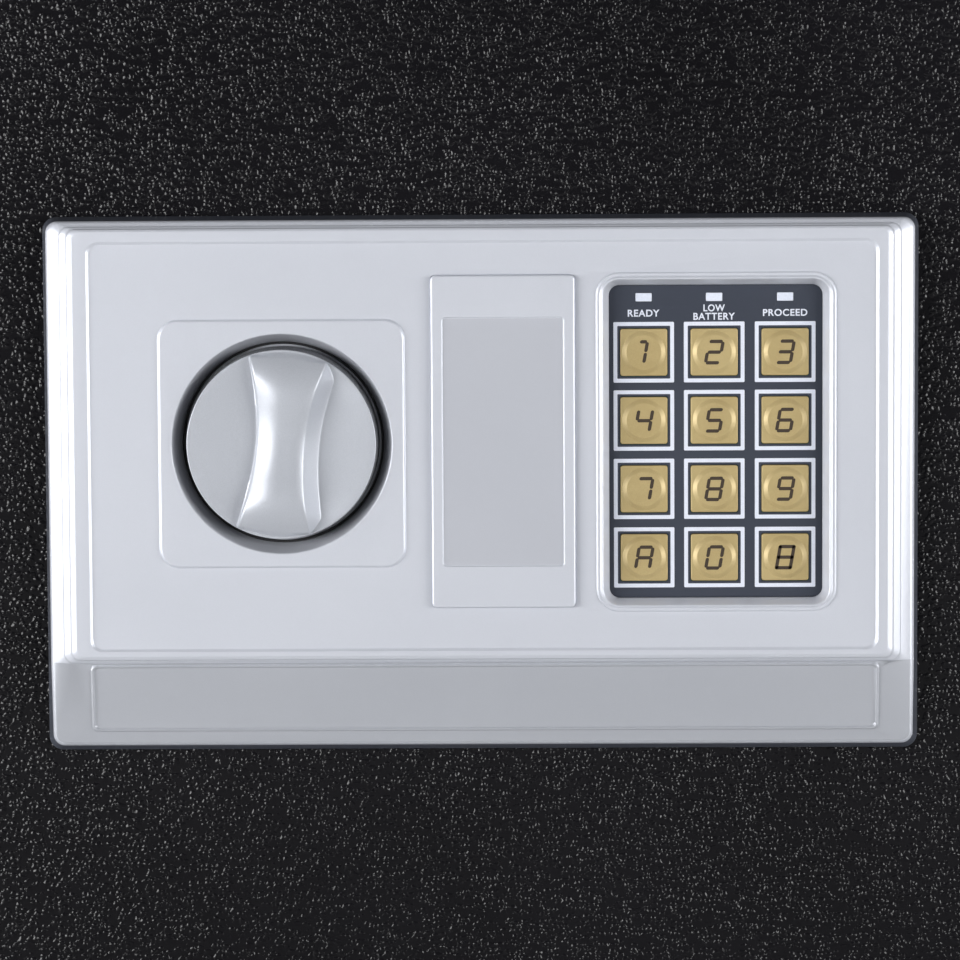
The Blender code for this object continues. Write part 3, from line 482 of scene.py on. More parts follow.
# %% Skins
class Skin:
    """A surface grown loop by loop, in millimetres right, up and forward of the door's face."""

    def __init__(self, name, centre=(0.0, 0.0)):
        self.name, self.bm, self.centre = name, bmesh.new(), centre

    def point(self, right_mm, up_mm, level):
        return self.bm.verts.new(((self.centre[0] + right_mm) * MM, FRONT - level * MM,
                                  MIDDLE + (self.centre[1] + up_mm) * MM))

    def loop(self, points, level):
        """New vertices round a loop; level is a number or a function of the point."""
        return [self.point(x, z, level(x, z) if callable(level) else level) for x, z in points]

    def bridge(self, first, second, closed=True):
        count = len(first) if closed else len(first) - 1
        for i in range(count):
            j = (i + 1) % len(first)
            corners = []
            for vert in (first[i], first[j], second[j], second[i]):
                if vert not in corners:
                    corners.append(vert)
            if len(corners) > 2:
                self.bm.faces.new(corners)

    def stack(self, *rows):
        """Bridges each loop to the next; a row is (points, level)."""
        loops = [self.loop(points, level) for points, level in rows]
        for first, second in zip(loops, loops[1:]):
            self.bridge(first, second)
        return loops

    def rounds(self, centre, count, *rows):
        """Circles about a centre; a row is (radius, level)."""
        return self.stack(*[(circle(*centre, radius, count), level) for radius, level in rows])

    def squares(self, centre, width, height, radius, *rows, steps=6):
        """Rounded rectangles about a centre; a row is (inset, level)."""
        return self.stack(*[(framed(*centre, width, height, radius, inset, steps), level)
                            for inset, level in rows])

    def fill(self, *loops):
        """Flat ground bounded by the first loop, with the others as holes."""
        edges = []
        for loop in loops:
            for i, vert in enumerate(loop):
                ends = (vert, loop[(i + 1) % len(loop)])
                edges.append(self.bm.edges.get(ends) or self.bm.edges.new(ends))
        bmesh.ops.triangle_fill(self.bm, use_beauty=True, use_dissolve=False, edges=edges)

    def piece(self, finish, body, replaces=(), wall=0.0, smooth=True, others=()):
        """Turns the skin into a piece that rides on a body and stands for CAD nodes. Faces with
        a material index above 0 take the other finishes in turn."""
        bmesh.ops.remove_doubles(self.bm, verts=self.bm.verts, dist=WELD)
        bmesh.ops.recalc_face_normals(self.bm, faces=self.bm.faces)
        facing = sum(face.normal.y * face.calc_area() for face in self.bm.faces)
        if wall and facing > 0:
            bmesh.ops.reverse_faces(self.bm, faces=self.bm.faces)
        mesh = mesh_from(self.name, self.bm)
        (mesh.shade_smooth if smooth else mesh.shade_flat)()
        made = placed(self.name, mesh, finishes[finish].material)
        for other in others:
            mesh.materials.append(finishes[other].material)
        if wall:
            solid = made.modifiers.new("wall", "SOLIDIFY")
            solid.thickness, solid.offset = wall * MM, -1.0
        if smooth:
            made.modifiers.new("flat_faces_flat", "WEIGHTED_NORMAL")
        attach(made, body)
        if replaces:
            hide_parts(*replaces)
        print(self.name, len(mesh.polygons), "faces")
        return made


print("skins are drawn", round(abs(FRONT) / MM, 1), "mm in front of the safe's middle")

# %% [markdown]
# ## Front panel
# The panel is one thin moulding: a side wall, a rounded shoulder, a step and a plateau run
# round a sunken face, and below them a strip leans back to the bottom edge. Boolean cuts would
# leave hard corners, so the contour loops are drawn directly and every edge has its own radius.

# %% Where things are on the panel
def from_middle(node):
    """A node's centre, in millimetres right of and above the panel's middle."""
    low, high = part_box(node)
    return (low.x + high.x) / 2 / MM, ((low.z + high.z) / 2 - MIDDLE) / MM


PANEL = (-94.6, 94.0, -58.5, 57.3)         # left, right, bottom and top
KNOB_AT, LOCK_AT = from_middle("knob_spindle"), from_middle("lock_plug")
KNOB_AT = (KNOB_AT[0], KNOB_AT[1] + 0.25)  # the moulding sits a hair above the spindle
COVER_AT, PAD_AT = from_middle("override_cover"), from_middle("keypad_overlay")
CREASE, STRIP_DROP = -38.7, 2.6 / 18.3     # where the strip folds, and how steeply it falls back
FOOT, FULL = 1.0, 4.0                      # the lean starts above this level, and grows over so much
print("knob", KNOB_AT, "lock", LOCK_AT, "keypad", PAD_AT)


def lean(level):
    """A level that falls back with the lower strip; the foot of the side wall stays on the door."""
    share = min(1.0, max(0.0, (level - FOOT) / FULL))
    return lambda x, z: level - max(0.0, CREASE - z) * STRIP_DROP * share


CORNER = 9                                 # the number of points round each corner


def round_panel(side, top, bottom_edge, radius, crease):
    """A loop round the panel, drawn in by side and top, with extra points where the strip folds."""
    left, right_edge, bottom, high = PANEL
    points = rounded(left + side, right_edge - side, bottom_edge, high - top, radius, steps=CORNER - 1)
    if crease:
        points.insert(CORNER, (right_edge - side, CREASE))
        points.insert(len(points) - CORNER, (left + side, CREASE))
    return points


# %% [markdown]
# Rows of a table give how far each contour is drawn in and how high it stands. The first table
# goes up the side wall and round the shoulder, and the second goes up the step to the plateau.

# %% Panel skin
panel = Skin("front_panel")
rows = []
for side, top, level, radius in ((0.0, 0.0, 0.3, 3.0), (0.0, 0.0, 0.75, 3.0), (0.15, 0.1, 1.0, 2.9),
                                 (0.3, 0.3, 2.0, 2.8), (1.15, 0.9, 5.2, 2.5), (1.3, 1.02, 5.65, 2.4),
                                 (1.55, 1.2, 6.0, 2.3), (1.85, 1.4, 6.22, 2.2), (2.15, 1.55, 6.33, 2.1)):
    rows.append((round_panel(side, top, PANEL[2] + side, radius, True), lean(level)))
outline = panel.stack(*rows)
shoulder = outline[-1]
LEDGE_EXTRA = 0.35                         # the ledge is this much wider at the sides
inner_rows = []
for side, top, bottom, level, radius in ((3.6, 2.0, -38.95, 6.70, 2.2), (3.75, 2.08, -38.85, 6.85, 2.2),
                                         (4.0, 2.22, -38.7, 7.22, 2.1), (4.15, 2.32, -38.6, 7.32, 2.1),
                                         (5.2, 2.52, -38.25, 7.52, 2.0), (5.35, 2.57, -38.17, 7.68, 2.0),
                                         (5.65, 2.68, -38.0, 8.08, 1.9), (5.8, 2.75, -37.9, 8.2, 1.9),
                                         (6.6, 3.1, -37.3, 8.45, 1.8), (6.9, 3.25, -37.15, 8.5, 1.8)):
    inner_rows.append((round_panel(side + LEDGE_EXTRA, top, bottom, radius, False), level))
steps = panel.stack(*inner_rows)
step_foot, plateau = steps[0], steps[-1]
print(len(outline) + len(steps), "contour loops")

# %% [markdown]
# The ledge and the leaning strip meet in a crease. Each is flat, so each is filled as one
# region, and they share the short edges that join the shoulder to the foot of the step.
# A thin bead runs round the strip, where a badge would be glued on; it is left plain.

# %% Ledge, strip and bead
foot_right, foot_left = step_foot[0], step_foot[-1]
ledge_outer = shoulder[CORNER:len(shoulder) - CORNER]
panel.fill(ledge_outer + [foot_left] + list(reversed(step_foot))[1:])
strip_edge = shoulder[len(shoulder) - CORNER - 1:] + shoulder[:CORNER + 1]
STRIP_LEVEL = 6.33


def inset_box(box, inset, radius, shrink, steps=6):
    """A rounded rectangle drawn in by inset, with a radius that shrinks as it goes."""
    left, right_edge, bottom, top = box
    return rounded(left + inset, right_edge - inset, bottom + inset, top - inset,
                   radius - inset * shrink, steps)


bead = panel.stack(*[(inset_box((-84.9, 85.4, -54.2, -39.2), inset, 1.3, 0.6, 4), lean(STRIP_LEVEL + rise))
                     for inset, rise in ((0.0, 0.0), (0.12, 0.24), (0.32, 0.44), (0.56, 0.44), (0.76, 0.24),
                                         (0.88, 0.0))])
panel.fill([foot_right, foot_left] + strip_edge, bead[0])
panel.fill(bead[-1])
print("strip filled round a bead of", len(bead), "loops")

# %% [markdown]
# The sunken face carries a square pad with the knob's cup, a pocket for the key cover and the
# raised frame of the keypad. The cup, the pocket and the window are real holes with walls.

# %% Face, cup, pocket and keypad frame
FACE = 8.0
brink = panel.stack(*[(inset_box((-84.6, 85.0, -36.3, 52.0), inset, 2.5, 0.5), level)
                      for inset, level in ((0.0, 8.5), (0.12, 8.46), (0.5, 8.1), (0.75, FACE))])
panel.fill(plateau, brink[0])

pad = panel.squares(KNOB_AT, 53.2, 53.6, 4.3, (0.0, FACE), (0.12, 8.05), (0.35, 8.42), (0.5, 8.55),
                    (0.7, 8.6))
cup = panel.rounds(KNOB_AT, 96, (23.85, 8.6), (23.72, 8.58), (23.58, 8.45), (23.42, 8.1), (22.0, 3.2),
                   (21.75, 2.2), (21.6, 1.7), (21.4, 1.5), (4.9, 1.5), (4.6, 1.4), (4.6, 1.0))
panel.fill(pad[-1], cup[0])

pocket = panel.squares(COVER_AT, 31.22, 71.72, 1.15, (0.0, FACE), (0.08, 7.97), (0.15, 7.85), (0.16, 7.0),
                       (0.2, 6.9))
well = panel.rounds(LOCK_AT, 48, (12.15, 6.9), (12.0, 6.75), (12.0, 6.0))
PEGS_AT = [(LOCK_AT[0], LOCK_AT[1] + up_mm) for up_mm in (28.0, -28.0)]
peg_holes = [panel.rounds(peg_at, 24, (2.5, 6.9), (2.4, 6.8), (2.4, 6.0)) for peg_at in PEGS_AT]
panel.fill(pocket[-1], well[0], *[hole[0] for hole in peg_holes])

bezel = panel.squares(PAD_AT, 51.5, 73.0, 5.0, (0.0, FACE), (0.1, 8.25), (0.25, 8.42), (0.4, 8.48),
                      (0.58, 8.45), (0.78, 8.40), (0.95, 8.46), (1.12, 8.68), (1.3, 8.78), (1.48, 8.74),
                      (1.62, 8.55), (1.8, 8.15), (2.75, 6.0), (2.9, 5.75), steps=8)
panel.fill(brink[-1], pad[0], pocket[0], bezel[0])

# %% [markdown]
# The panel has three finishes: silver paint, the same silver darkened on the leaning strip as
# painted shade for its tilt away from the light, and a near-black silver on the side wall as
# painted shade for the dark that the wall mirrors. Each face of the mesh is told its finish by
# where it is.

# %% Finishes of the panel
EDGE = 1.5                                 # the side wall lies within this much of the outline
for part in panel.bm.faces:
    where = part.calc_center_median()
    right_mm, up_mm, level = where.x / MM, (where.z - MIDDLE) / MM, (FRONT - where.y) / MM
    inside = PANEL[0] + EDGE < right_mm < PANEL[1] - EDGE and PANEL[2] + EDGE < up_mm < PANEL[3] - EDGE
    # faces of the leaning strip take the darker silver that paints their shade
    if up_mm < CREASE - 0.2 and level > lean(6.2)(0, up_mm):
        part.material_index = 1
    # faces low on the side wall take the near-black silver that paints their shade
    elif not inside and level < lean(5.3)(0, up_mm):
        part.material_index = 2
panel.piece("panel_silver", "door", ["fascia"], wall=0.8,
            others=("strip_painted_shade", "wall_painted_shade"))


# %% [markdown]
# ## Knob
# The knob is one casting: a round body with two finger hollows, which leave an hourglass grip
# across it. It is easiest to say how high its top stands at each point, as three small rules:
# one for the grip's width, one for the grip's top, and one for the hollows beside it.

# %% Knob shape
KNOB_TILT = math.radians(5.4)
RIM_RADIUS, RIM_LEVEL = 20.1, 10.2
GRIP_CORNERS = (-18.5, 18.3)               # where the grip's edges meet the rim
WAIST, LOWER_END, UPPER_END = 5.0, 7.8, 8.25             # half widths of the grip
LEFT_VALLEY, RIGHT_VALLEY = (0.45, 9.85), (3.1, 9.35)    # how far out, and at what level
CROWN = ((0.0, 12.95), (3.0, 13.05), (6.0, 13.36), (9.0, 13.76), (11.5, 13.88), (14.0, 13.50), (16.5, 12.55),
         (18.5, 11.35), (20.1, 10.2))


def between(table, at):
    """Smooth reading between the rows of a table."""
    at = abs(at)
    for i in range(len(table) - 1):
        (x0, y0), (x1, y1) = table[i], table[i + 1]
        if at <= x1:
            before = table[i - 1] if i else (2 * x0 - x1, y1)
            after = table[i + 2] if i + 2 < len(table) else (2 * x1 - x0, 2 * y1 - y0)
            t = (at - x0) / (x1 - x0)
            slope0 = (y1 - before[1]) / (x1 - before[0]) * (x1 - x0)
            slope1 = (after[1] - y0) / (after[0] - x0) * (x1 - x0)
            return ((2 * t ** 3 - 3 * t ** 2 + 1) * y0 + (t ** 3 - 2 * t ** 2 + t) * slope0
                    + (3 * t ** 2 - 2 * t ** 3) * y1 + (t ** 3 - t ** 2) * slope1)
    return table[-1][1]


def ease(t):
    t = min(1.0, max(0.0, t))
    return t * t * (3 - 2 * t)


def grip_half(along):
    """Half the grip's width: narrow at the waist, wide where it meets the rim."""
    end, corner = (UPPER_END, GRIP_CORNERS[1]) if along > 0 else (LOWER_END, GRIP_CORNERS[0])
    return WAIST + (end - WAIST) * (along / corner) ** 2


def grip_level(across, along):
    """The grip's top: a shallow saddle that falls at both ends and rolls over to the left."""
    half = min(grip_half(along), math.sqrt(max(0.0, RIM_RADIUS ** 2 - along ** 2)) + 0.001)
    share = across / half
    fade = 1 - ease((abs(along) - 9.0) / 9.0)
    left = 1.75 * max(0.0, -share) ** 2.1
    right_side = 0.50 * max(0.0, (share - 0.55) / 0.45) ** 2
    return between(CROWN, along) - (left + right_side) * (0.25 + 0.75 * fade)


def hollow_level(out, width, valley, edge_level):
    """From the grip's edge down to the valley and back up to the rim; out is 0 at the grip."""
    valley_at = min(valley[0], 0.45 * width)
    floor = RIM_LEVEL - (RIM_LEVEL - valley[1]) * ease(width / 11.0)
    if out < valley_at:
        t = out / valley_at
        return edge_level + (floor - edge_level) * (1 - (1 - t) ** 1.05)
    t = (out - valley_at) / max(0.001, width - valley_at)
    return floor + (RIM_LEVEL - floor) * (0.3 * t + 0.5 * ease(t) + 0.2 * t * t)


print("the grip stands", round(between(CROWN, 0.0) - RIM_LEVEL, 2), "mm above the rim at its waist")

# %% [markdown]
# The mesh is a grid whose rows run across the grip. One column of points follows the grip's edge
# and another lies in the valley, so both lines stay crisp. The side gets a finish of its own: its
# flecks are the rough skin of the casting, and its dark colour is painted shade, the shadow deep
# in the cup round it.

# %% Knob mesh
knob_skin = Skin("turning_knob", KNOB_AT)
angles = sorted(set([math.radians(-90 + 3.75 * i) for i in range(49)]
                    + [math.asin(c / RIM_RADIUS) for c in GRIP_CORNERS]))
WALL_STEPS = (0.06, 0.2, 0.4, 0.6, 0.8, 0.94, 1.0)
FLOOR_STEPS = (0.03, 0.12, 0.3, 0.5, 0.7, 0.88, 1.0)
RIGHT_STEPS = (0.17, 0.34, 0.5, 0.64, 0.76, 0.87, 0.95, 1.0)
GRIP_STEPS = (*[-step for step in reversed(RIGHT_STEPS)], 0.0, *RIGHT_STEPS)
NO_WIDTH = 0.02                            # a hollow narrower than this has run out
cos_tilt, sin_tilt = math.cos(KNOB_TILT), math.sin(KNOB_TILT)


def knob_point(across, along, level):
    right_mm, up_mm = across * cos_tilt + along * sin_tilt, along * cos_tilt - across * sin_tilt
    return knob_skin.point(right_mm, up_mm, level)


def hollow_row(side, half, width, along, valley):
    """Points from the grip's edge out to the rim; one of them always lies in the valley."""
    valley_at = min(valley[0], 0.45 * width)
    outs = [step * valley_at for step in WALL_STEPS]
    outs += [valley_at + step * (width - valley_at) for step in FLOOR_STEPS]
    edge_level = grip_level(side * half, along)
    return [knob_point(side * (half + out), along, hollow_level(out, width, valley, edge_level)
                       if width > NO_WIDTH else RIM_LEVEL) for out in outs]


grid = []
for angle in angles:
    along, chord = RIM_RADIUS * math.sin(angle), RIM_RADIUS * math.cos(angle)
    half = min(grip_half(along), chord)
    width = chord - half
    row = hollow_row(-1, half, width, along, LEFT_VALLEY)[::-1]
    for share in GRIP_STEPS:
        level = grip_level(share * half, along)
        if width < NO_WIDTH:               # beyond the corners the grip's end runs out at the rim
            reach = 1 - (along ** 2 + (share * half) ** 2) / RIM_RADIUS ** 2
            level = RIM_LEVEL + (level - RIM_LEVEL) * ease(reach * 9.0)
        row.append(knob_point(share * half, along, level))
    grid.append(row + hollow_row(1, half, width, along, RIGHT_VALLEY))
for lower, upper in zip(grid, grid[1:]):
    knob_skin.bridge(lower, upper, closed=False)
edge = [row[-1] for row in grid] + [row[0] for row in reversed(grid[1:-1])]
edge_points = [(RIM_RADIUS * math.cos(a), RIM_RADIUS * math.sin(a)) for a in angles]
edge_points += [(-x, z) for x, z in reversed(edge_points[1:-1])]
previous = edge
for radius, level in ((20.2, 10.17), (20.29, 10.04), (20.37, 9.7), (20.6, 6.2), (20.72, 4.0), (20.78, 2.6),
                      (20.65, 2.4), (4.6, 2.4), (4.5, 2.5), (4.5, 9.3)):
    grow = radius / RIM_RADIUS
    lower_ring = [knob_point(x * grow, z * grow, level) for x, z in edge_points]
    knob_skin.bridge(previous, lower_ring)
    previous = lower_ring
knob_skin.fill(previous)
# faces of the knob's side take the dark finish that paints the shade in the cup
for part in knob_skin.bm.faces:
    spot = part.calc_center_median()
    from_axis = math.hypot(spot.x / MM - KNOB_AT[0], (spot.z - MIDDLE) / MM - KNOB_AT[1])
    part.material_index = int(from_axis > 20.2 and (FRONT - spot.y) / MM < 9.9)
knob_skin.piece("knob_silver", "knob_shaft", ["knob"], others=["knob_side_painted_shade"])

# %% [markdown]
# A black ring lies in the cup round the knob as a painted shadow. Seen from the front it is the
# dark line of shade between the knob and the wall of the cup.

# %% Painted shadow ring
ring = Skin("painted_shadow_ring", KNOB_AT)
ring_rows = ring.rounds((0, 0), 96, (21.70, 1.9), (21.72, 2.5), (21.64, 2.66), (21.45, 2.72),
                        (21.28, 2.6), (21.22, 2.4), (21.22, 1.6))
ring.bridge(ring_rows[-1], ring_rows[0])
ring.piece("black_plastic", "door")

# %% [markdown]
# ## Key cover
# The plate between the knob and the keypad hides the emergency lock. It pulls off by hand: two
# pegs on its back grip two holes. Its front has a shallow field where a label would sit; it stays
# blank. The field's darker silver is painted shade, the dimmer light on the middle of the panel.

# %% Key cover
cover = Skin("key_cover_plate")
cover_rows = cover.squares(COVER_AT, 30.98, 71.48, 1.1, (0.1, 7.2), (0.0, 7.35), (0.05, 8.75), (0.14, 9.0),
                           (0.3, 9.16), (0.5, 9.2))
FIELD = 8.9
field = cover.squares(COVER_AT, 26.3, 53.7, 0.9, (0.0, 9.2), (0.08, 9.17), (0.22, 8.93), (0.32, FIELD))
cover.fill(cover_rows[-1], field[0])
cover.fill(field[-1])
cover.fill(cover_rows[0])
for peg_at in PEGS_AT:
    peg = cover.rounds(peg_at, 24, (2.0, 7.3), (2.0, 5.2), (1.7, 4.85))
    cover.fill(peg[0])
    cover.fill(peg[-1])
# faces of the field take the darker silver that paints the shade of the panel's middle
for part in cover.bm.faces:
    level = (FRONT - part.calc_center_median().y) / MM
    part.material_index = int(abs(level - FIELD) < 0.01)
cover.piece("panel_silver", "key_cover", ["override_cover"], others=["field_painted_shade"])

# %% [markdown]
# ## Keys
# Each key is a square cap with a flat-topped dome. All twelve are the same moulding, so one
# function makes a cap at the place where the frame says that key is.

# %% Key caps
KEYS = {name: from_middle(f"key_{name}") for name in "123456789a0b"}
KEY_TOP = 6.085


def key_cap(name, x, z):
    cap = Skin(f"key_cap_{name}", (x, z))
    rows = cap.squares((0, 0), 10.1, 10.1, 0.5, (0.0, 3.95), (0.0, 5.36), (0.06, 5.46), (0.16, 5.5), steps=3)
    dome = cap.rounds((0, 0), 48, (4.72, 5.5), (4.62, 5.53), (4.45, 5.62), (3.86, 6.02), (3.74, 6.07),
                      (3.6, KEY_TOP))
    cap.fill(rows[-1], dome[0])
    cap.fill(dome[-1])
    cap.fill(rows[0])
    return cap.piece("key_gold", f"button_{name}", [f"key_{name}"])


for name, (x, z) in KEYS.items():
    key_cap(name, x, z)

# %% [markdown]
# The numbers are printed in the slanted seven-stroke shape that clocks and tills use. Strokes are
# drawn as capsules, so their ends are round and a hair of gold shows between them.

# %% Printed digits
STROKE, DIGIT_HIGH, DIGIT_WIDE, SLANT, HAIR = 0.73, 5.3, 3.7, math.tan(math.radians(10)), 0.07
INK = 0.02                                 # the ink's thickness
EAST, NORTH = (DIGIT_WIDE - STROKE) / 2, (DIGIT_HIGH - STROKE) / 2
SEGMENTS = {"a": ((-EAST, NORTH), (EAST, NORTH)), "b": ((EAST, NORTH), (EAST, 0)),
            "c": ((EAST, 0), (EAST, -NORTH)), "d": ((-EAST, -NORTH), (EAST, -NORTH)),
            "e": ((-EAST, 0), (-EAST, -NORTH)), "f": ((-EAST, NORTH), (-EAST, 0)),
            "g": ((-EAST, 0), (EAST, 0)), "stub": ((EAST * -0.12, NORTH), (EAST, NORTH))}
DIGITS = {"1": ("stub", "b", "c"), "2": "abged", "3": "abgcd", "4": "fgbc", "5": "afgcd", "6": "afgecd",
          "7": "abc", "8": "abcdefg", "9": "abcdfg", "a": "abcefg", "0": "abcdef", "b": "abcdefg"}


def capsule(start, end, square):
    """The outline of one stroke, pulled in a little at both ends."""
    (x0, z0), (x1, z1) = start, end
    length = math.hypot(x1 - x0, z1 - z0)
    ux, uz = (x1 - x0) / length, (z1 - z0) / length
    pull = (0.0 if square else STROKE / 2) + HAIR
    x0, z0, x1, z1 = x0 + ux * pull, z0 + uz * pull, x1 - ux * pull, z1 - uz * pull
    points = []
    for (x, z), facing in (((x1, z1), 0), ((x0, z0), 180)):
        for step in range(7):
            angle = math.atan2(uz, ux) + math.radians(facing - 90 + 30 * step)
            points.append((x + math.cos(angle) * STROKE / 2, z + math.sin(angle) * STROKE / 2))
    return [(x + z * SLANT, z) for x, z in points]


def print_digit(name, x, z):
    """Thin ink shapes on a key: each stroke gets a top and a side."""
    aside = -1.1 if name == "1" else 0.0   # a one has only its right-hand strokes
    ink = Skin(f"digit_{name}", (x + aside, z))
    for part in DIGITS[name]:
        outline = capsule(*SEGMENTS[part], name == "b")
        for loop in ink.stack((outline, KEY_TOP - 0.01), (outline, KEY_TOP + INK)):
            ink.fill(loop)
    ink.piece("digit_ink", f"button_{name}", smooth=False)


for name, (x, z) in KEYS.items():
    print_digit(name, x, z)

# %% [markdown]
# ## Keypad film
# White frames are printed round the keys, and three words under the lamps say what each means.
# The words are flat text turned into meshes and scaled to the height of real small print.

# %% Film, frames and words
FILM = 5.3                                 # the film's front
LAMPS = {name: from_middle(f"led_{name}") for name in ("ready", "low_battery", "proceed")}
film = Skin("keypad_film")
film_edge = film.squares(PAD_AT, 50.0, 71.0, 2.0, (0.0, FILM - 0.05), (0.05, FILM))
UNDER = FILM - 0.08                        # where the walls of the windows end
windows = [film.stack((framed(x, z, 10.4, 10.4, 0.5, 0, 3), FILM),
                      (framed(x, z, 10.36, 10.36, 0.5, 0, 3), UNDER)) for x, z in KEYS.values()]
windows += [film.stack((framed(x, z, 3.64, 1.94, 0.2, 0, 2), FILM),
                       (framed(x, z, 3.58, 1.88, 0.2, 0, 2), UNDER)) for x, z in LAMPS.values()]
film.fill(film_edge[-1], *[window[0] for window in windows])
film.piece("overlay_film", "door", ["keypad_overlay"], wall=1.1)

frames = Skin("key_frames")
for x, z in KEYS.values():
    inner, outer = framed(x, z, 11.34, 11.34, 0.15, 0, 2), framed(x, z, 13.0, 13.0, 0.2, 0, 2)
    rows = frames.stack((inner, FILM - 0.01), (inner, FILM + 0.03), (outer, FILM + 0.03),
                        (outer, FILM - 0.01))
    frames.bridge(rows[-1], rows[0])
frames.piece("white_ink", "door", smooth=False)


def word(text, x, z, width, height=1.5):
    """One printed word, its middle at x and z."""
    curve = bpy.data.curves.new("word_" + text.replace(" ", "_"), "FONT")
    curve.body, curve.size, curve.offset, curve.extrude = text, 0.002, 0.000045, 0.000015
    curve.space_character = 1.1
    curve.align_x, curve.align_y = "CENTER", "CENTER"
    flat = bpy.data.objects.new("flat_" + text, curve)
    bpy.context.scene.collection.objects.link(flat)
    bpy.context.view_layer.update()
    mesh = bpy.data.meshes.new_from_object(flat.evaluated_get(bpy.context.evaluated_depsgraph_get()))
    bpy.data.objects.remove(flat)
    xs, ys = [v.co.x for v in mesh.vertices], [v.co.y for v in mesh.vertices]
    grow_x, grow_y = width * MM / (max(xs) - min(xs)), height * MM / (max(ys) - min(ys))
    shift = Matrix.Translation((-(max(xs) + min(xs)) / 2, -(max(ys) + min(ys)) / 2, 0))
    stand = Matrix.Rotation(math.pi / 2, 4, "X")
    at = Matrix.Translation((x * MM, FRONT - (FILM + 0.01) * MM, MIDDLE + z * MM))
    mesh.transform(at @ stand @ Matrix.Diagonal((grow_x, grow_y, 1, 1)) @ shift)
    mesh.materials.clear()
    printed_word = placed("word_" + text.lower(), mesh, finishes["white_ink"].material)
    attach(printed_word, "door")
    return printed_word


word("READY", LAMPS["ready"][0], LAMPS["ready"][1] - 3.4, 6.8)
word("LOW", LAMPS["low_battery"][0], LAMPS["low_battery"][1] - 2.35, 4.6)
word("BATTERY", LAMPS["low_battery"][0], LAMPS["low_battery"][1] - 4.15, 8.9)
word("PROCEED", LAMPS["proceed"][0], LAMPS["proceed"][1] - 3.4, 9.5)
print("lamps at", LAMPS)

# %% [markdown]
# ## The rest of the safe
# The other parts already have their true shapes, but their edges are knife sharp. Each one is
# copied, its doubled points are welded, and a narrow bevel is turned along every edge, because
# sheet metal and castings always have a small radius that shows as a thin line of light.

# %% Soft edges for the carried-over parts
BEVELS = {"body_shell": 0.35, "back_plate": 0.25, "strike_plate": 0.2, "jamb_right": 0.3, "jamb_top": 0.2,
          "jamb_bottom": 0.2, "door_plate": 0.35, "mechanism_cover": 0.3, "hinge_block_top": 0.4,
          "hinge_block_bottom": 0.4, "override_lock_body": 0.25, "lock_plug": 0.2, "lock_cam": 0.3,
          "bolt_carriage": 0.25, "bolt_guide": 0.25, "drive_arm": 0.2, "solenoid_frame": 0.25,
          "battery_box": 0.25, "battery_door": 0.35, "reset_button": 0.3}
REDRAWN = {"fascia", "knob", "override_cover", "keypad_overlay", "solenoid_spring", "floor_mat",
           *[f"key_{name}" for name in KEYS]}
SHARP, TURNED = math.radians(50), math.radians(40)       # edges drawn crisp, and edges bevelled


def softened(node):
    """A bevelled copy of a node that rides and shows in its place."""
    source = frame["nodes"][node]
    bm = bmesh.new()
    bm.from_mesh(source.data)
    bmesh.ops.remove_doubles(bm, verts=bm.verts, dist=WELD)
    for face in bm.faces:
        face.smooth = True
    for line in bm.edges:
        line.smooth = len(line.link_faces) == 2 and line.calc_face_angle(0.0) < SHARP
    made = placed(node + "_fine", mesh_from(node + "_fine", bm), finishes[slot_of[node]].material)
    bevel = made.modifiers.new("edge", "BEVEL")
    bevel.width, bevel.segments = BEVELS.get(node, 0.15) * MM, 2
    bevel.limit_method, bevel.angle_limit = "ANGLE", TURNED
    bevel.harden_normals = False
    weighted = made.modifiers.new("flat_faces_flat", "WEIGHTED_NORMAL")
    weighted.keep_sharp = False
    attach(made, body_of[node])
    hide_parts(node)
    return made


for node in frame["nodes"]:
    if node not in REDRAWN:
        softened(node)
print(len(frame["nodes"]) - len(REDRAWN), "parts given soft edges")


# %% [markdown]
# ## Felt mat and plunger spring
# Felt lies flat but never dead flat, so the mat is a fine grid with a slow swell and a rounded
# edge.

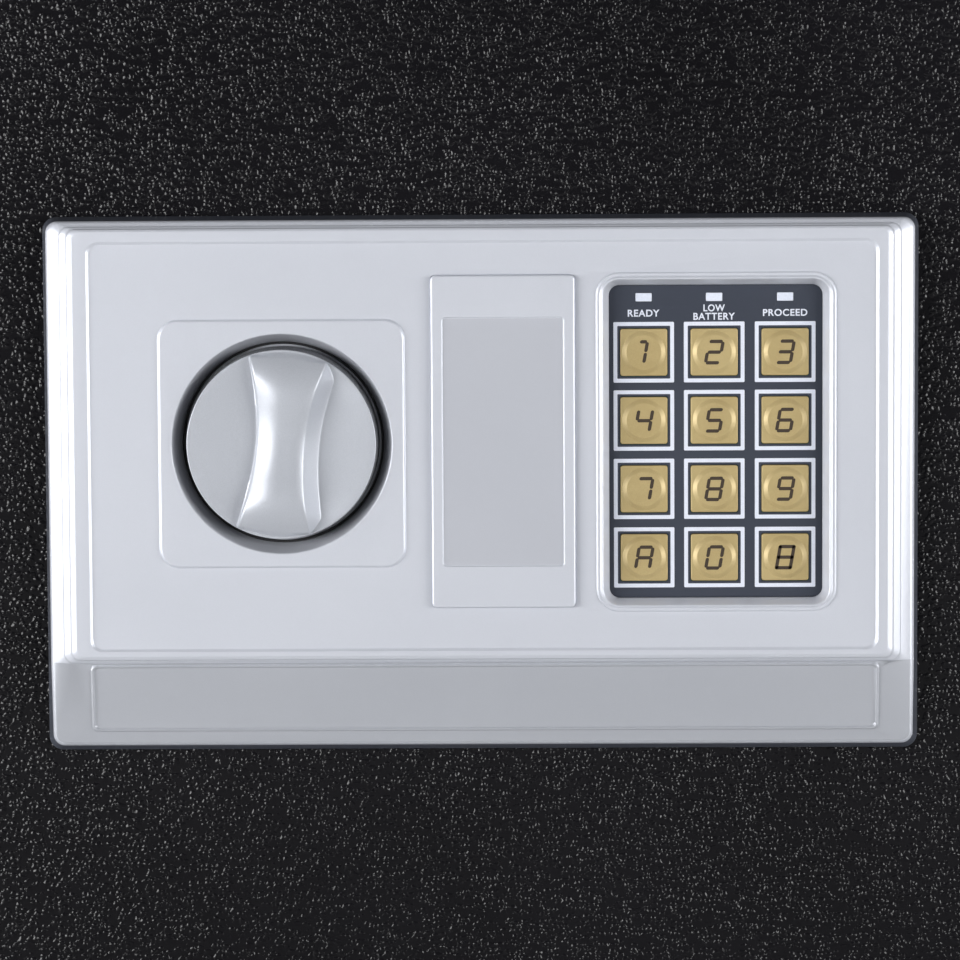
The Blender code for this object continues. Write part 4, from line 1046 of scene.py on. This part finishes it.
# %% Felt mat
def felt_mat():
    low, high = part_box("floor_mat")
    count_x, count_y = 60, 36
    bm = bmesh.new()
    tops = []
    for j in range(count_y + 1):
        for i in range(count_x + 1):
            x = low.x + (high.x - low.x) * i / count_x
            y = low.y + (high.y - low.y) * j / count_y
            wave = math.sin(x * 61 + 1.0) * math.sin(y * 47) + 0.5 * math.sin(x * 140 + y * 90)
            swell = 0.00025 * (wave - 1.5)
            edge = i in (0, count_x) or j in (0, count_y)
            tops.append(bm.verts.new((x, y, high.z + swell * (1.6 if edge else 1.0))))
    for j in range(count_y):
        for i in range(count_x):
            a = j * (count_x + 1) + i
            bm.faces.new((tops[a], tops[a + 1], tops[a + count_x + 2], tops[a + count_x + 1]))
    rim = [line for line in bm.edges if line.is_boundary]
    skirt = bmesh.ops.extrude_edge_only(bm, edges=rim)["geom"]
    for vert in skirt:
        if isinstance(vert, bmesh.types.BMVert):
            vert.co.z = low.z
    bmesh.ops.holes_fill(bm, edges=[line for line in bm.edges if line.is_boundary], sides=0)
    bmesh.ops.recalc_face_normals(bm, faces=bm.faces)
    mesh = mesh_from("felt_mat", bm)
    mesh.shade_smooth()
    made = placed("felt_mat", mesh, finishes["felt_grey"].material)
    bevel = made.modifiers.new("soft_rim", "BEVEL")
    bevel.width, bevel.segments, bevel.limit_method = 0.8 * MM, 3, "ANGLE"
    bevel.angle_limit = TURNED
    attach(made, "cabinet")
    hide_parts("floor_mat")
    return made


felt_mat()
print("felt mat laid")

# %% [markdown]
# The spring sits round the solenoid's plunger: its lower turns stay with the door and its top
# turns rise with the plunger. It is drawn as wire and rides on neither body.

# %% Plunger spring
TURNS, STEPS_A_TURN = 6, 24


def plunger_spring(around=10, wire=0.00045):
    """A wire tube swept along a helix whose end turns lie close together."""
    low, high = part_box("solenoid_spring")
    centre_x, centre_y = (low.x + high.x) / 2, (low.y + high.y) / 2
    radius = (high.x - low.x) / 2 - wire
    bottom, rise = low.z + wire, high.z - low.z - 2 * wire
    bm, rings, count = bmesh.new(), [], TURNS * STEPS_A_TURN
    for i in range(count + 1):
        share = i / count
        squeezed = share - 0.09 * math.sin(2 * math.pi * share)
        angle = 2 * math.pi * TURNS * share
        outward, upward = Vector((math.cos(angle), math.sin(angle), 0)), Vector((0, 0, 1))
        centre = Vector((centre_x, centre_y, bottom + rise * squeezed)) + radius * outward
        rounds = [2 * math.pi * k / around for k in range(around)]
        rings.append([bm.verts.new(centre + wire * (outward * math.cos(turn) + upward * math.sin(turn)))
                      for turn in rounds])
    for first, second in zip(rings, rings[1:]):
        for k in range(around):
            bm.faces.new((first[k], first[(k + 1) % around], second[(k + 1) % around], second[k]))
    bm.faces.new(rings[0])
    bm.faces.new(rings[-1])
    bmesh.ops.recalc_face_normals(bm, faces=bm.faces)
    mesh = mesh_from("plunger_spring", bm)
    mesh.shade_smooth()
    made = placed("plunger_spring", mesh, finishes["bright_steel"].material)
    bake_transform(made)
    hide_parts("solenoid_spring")
    return made


plunger_spring()
print("plunger spring wound")
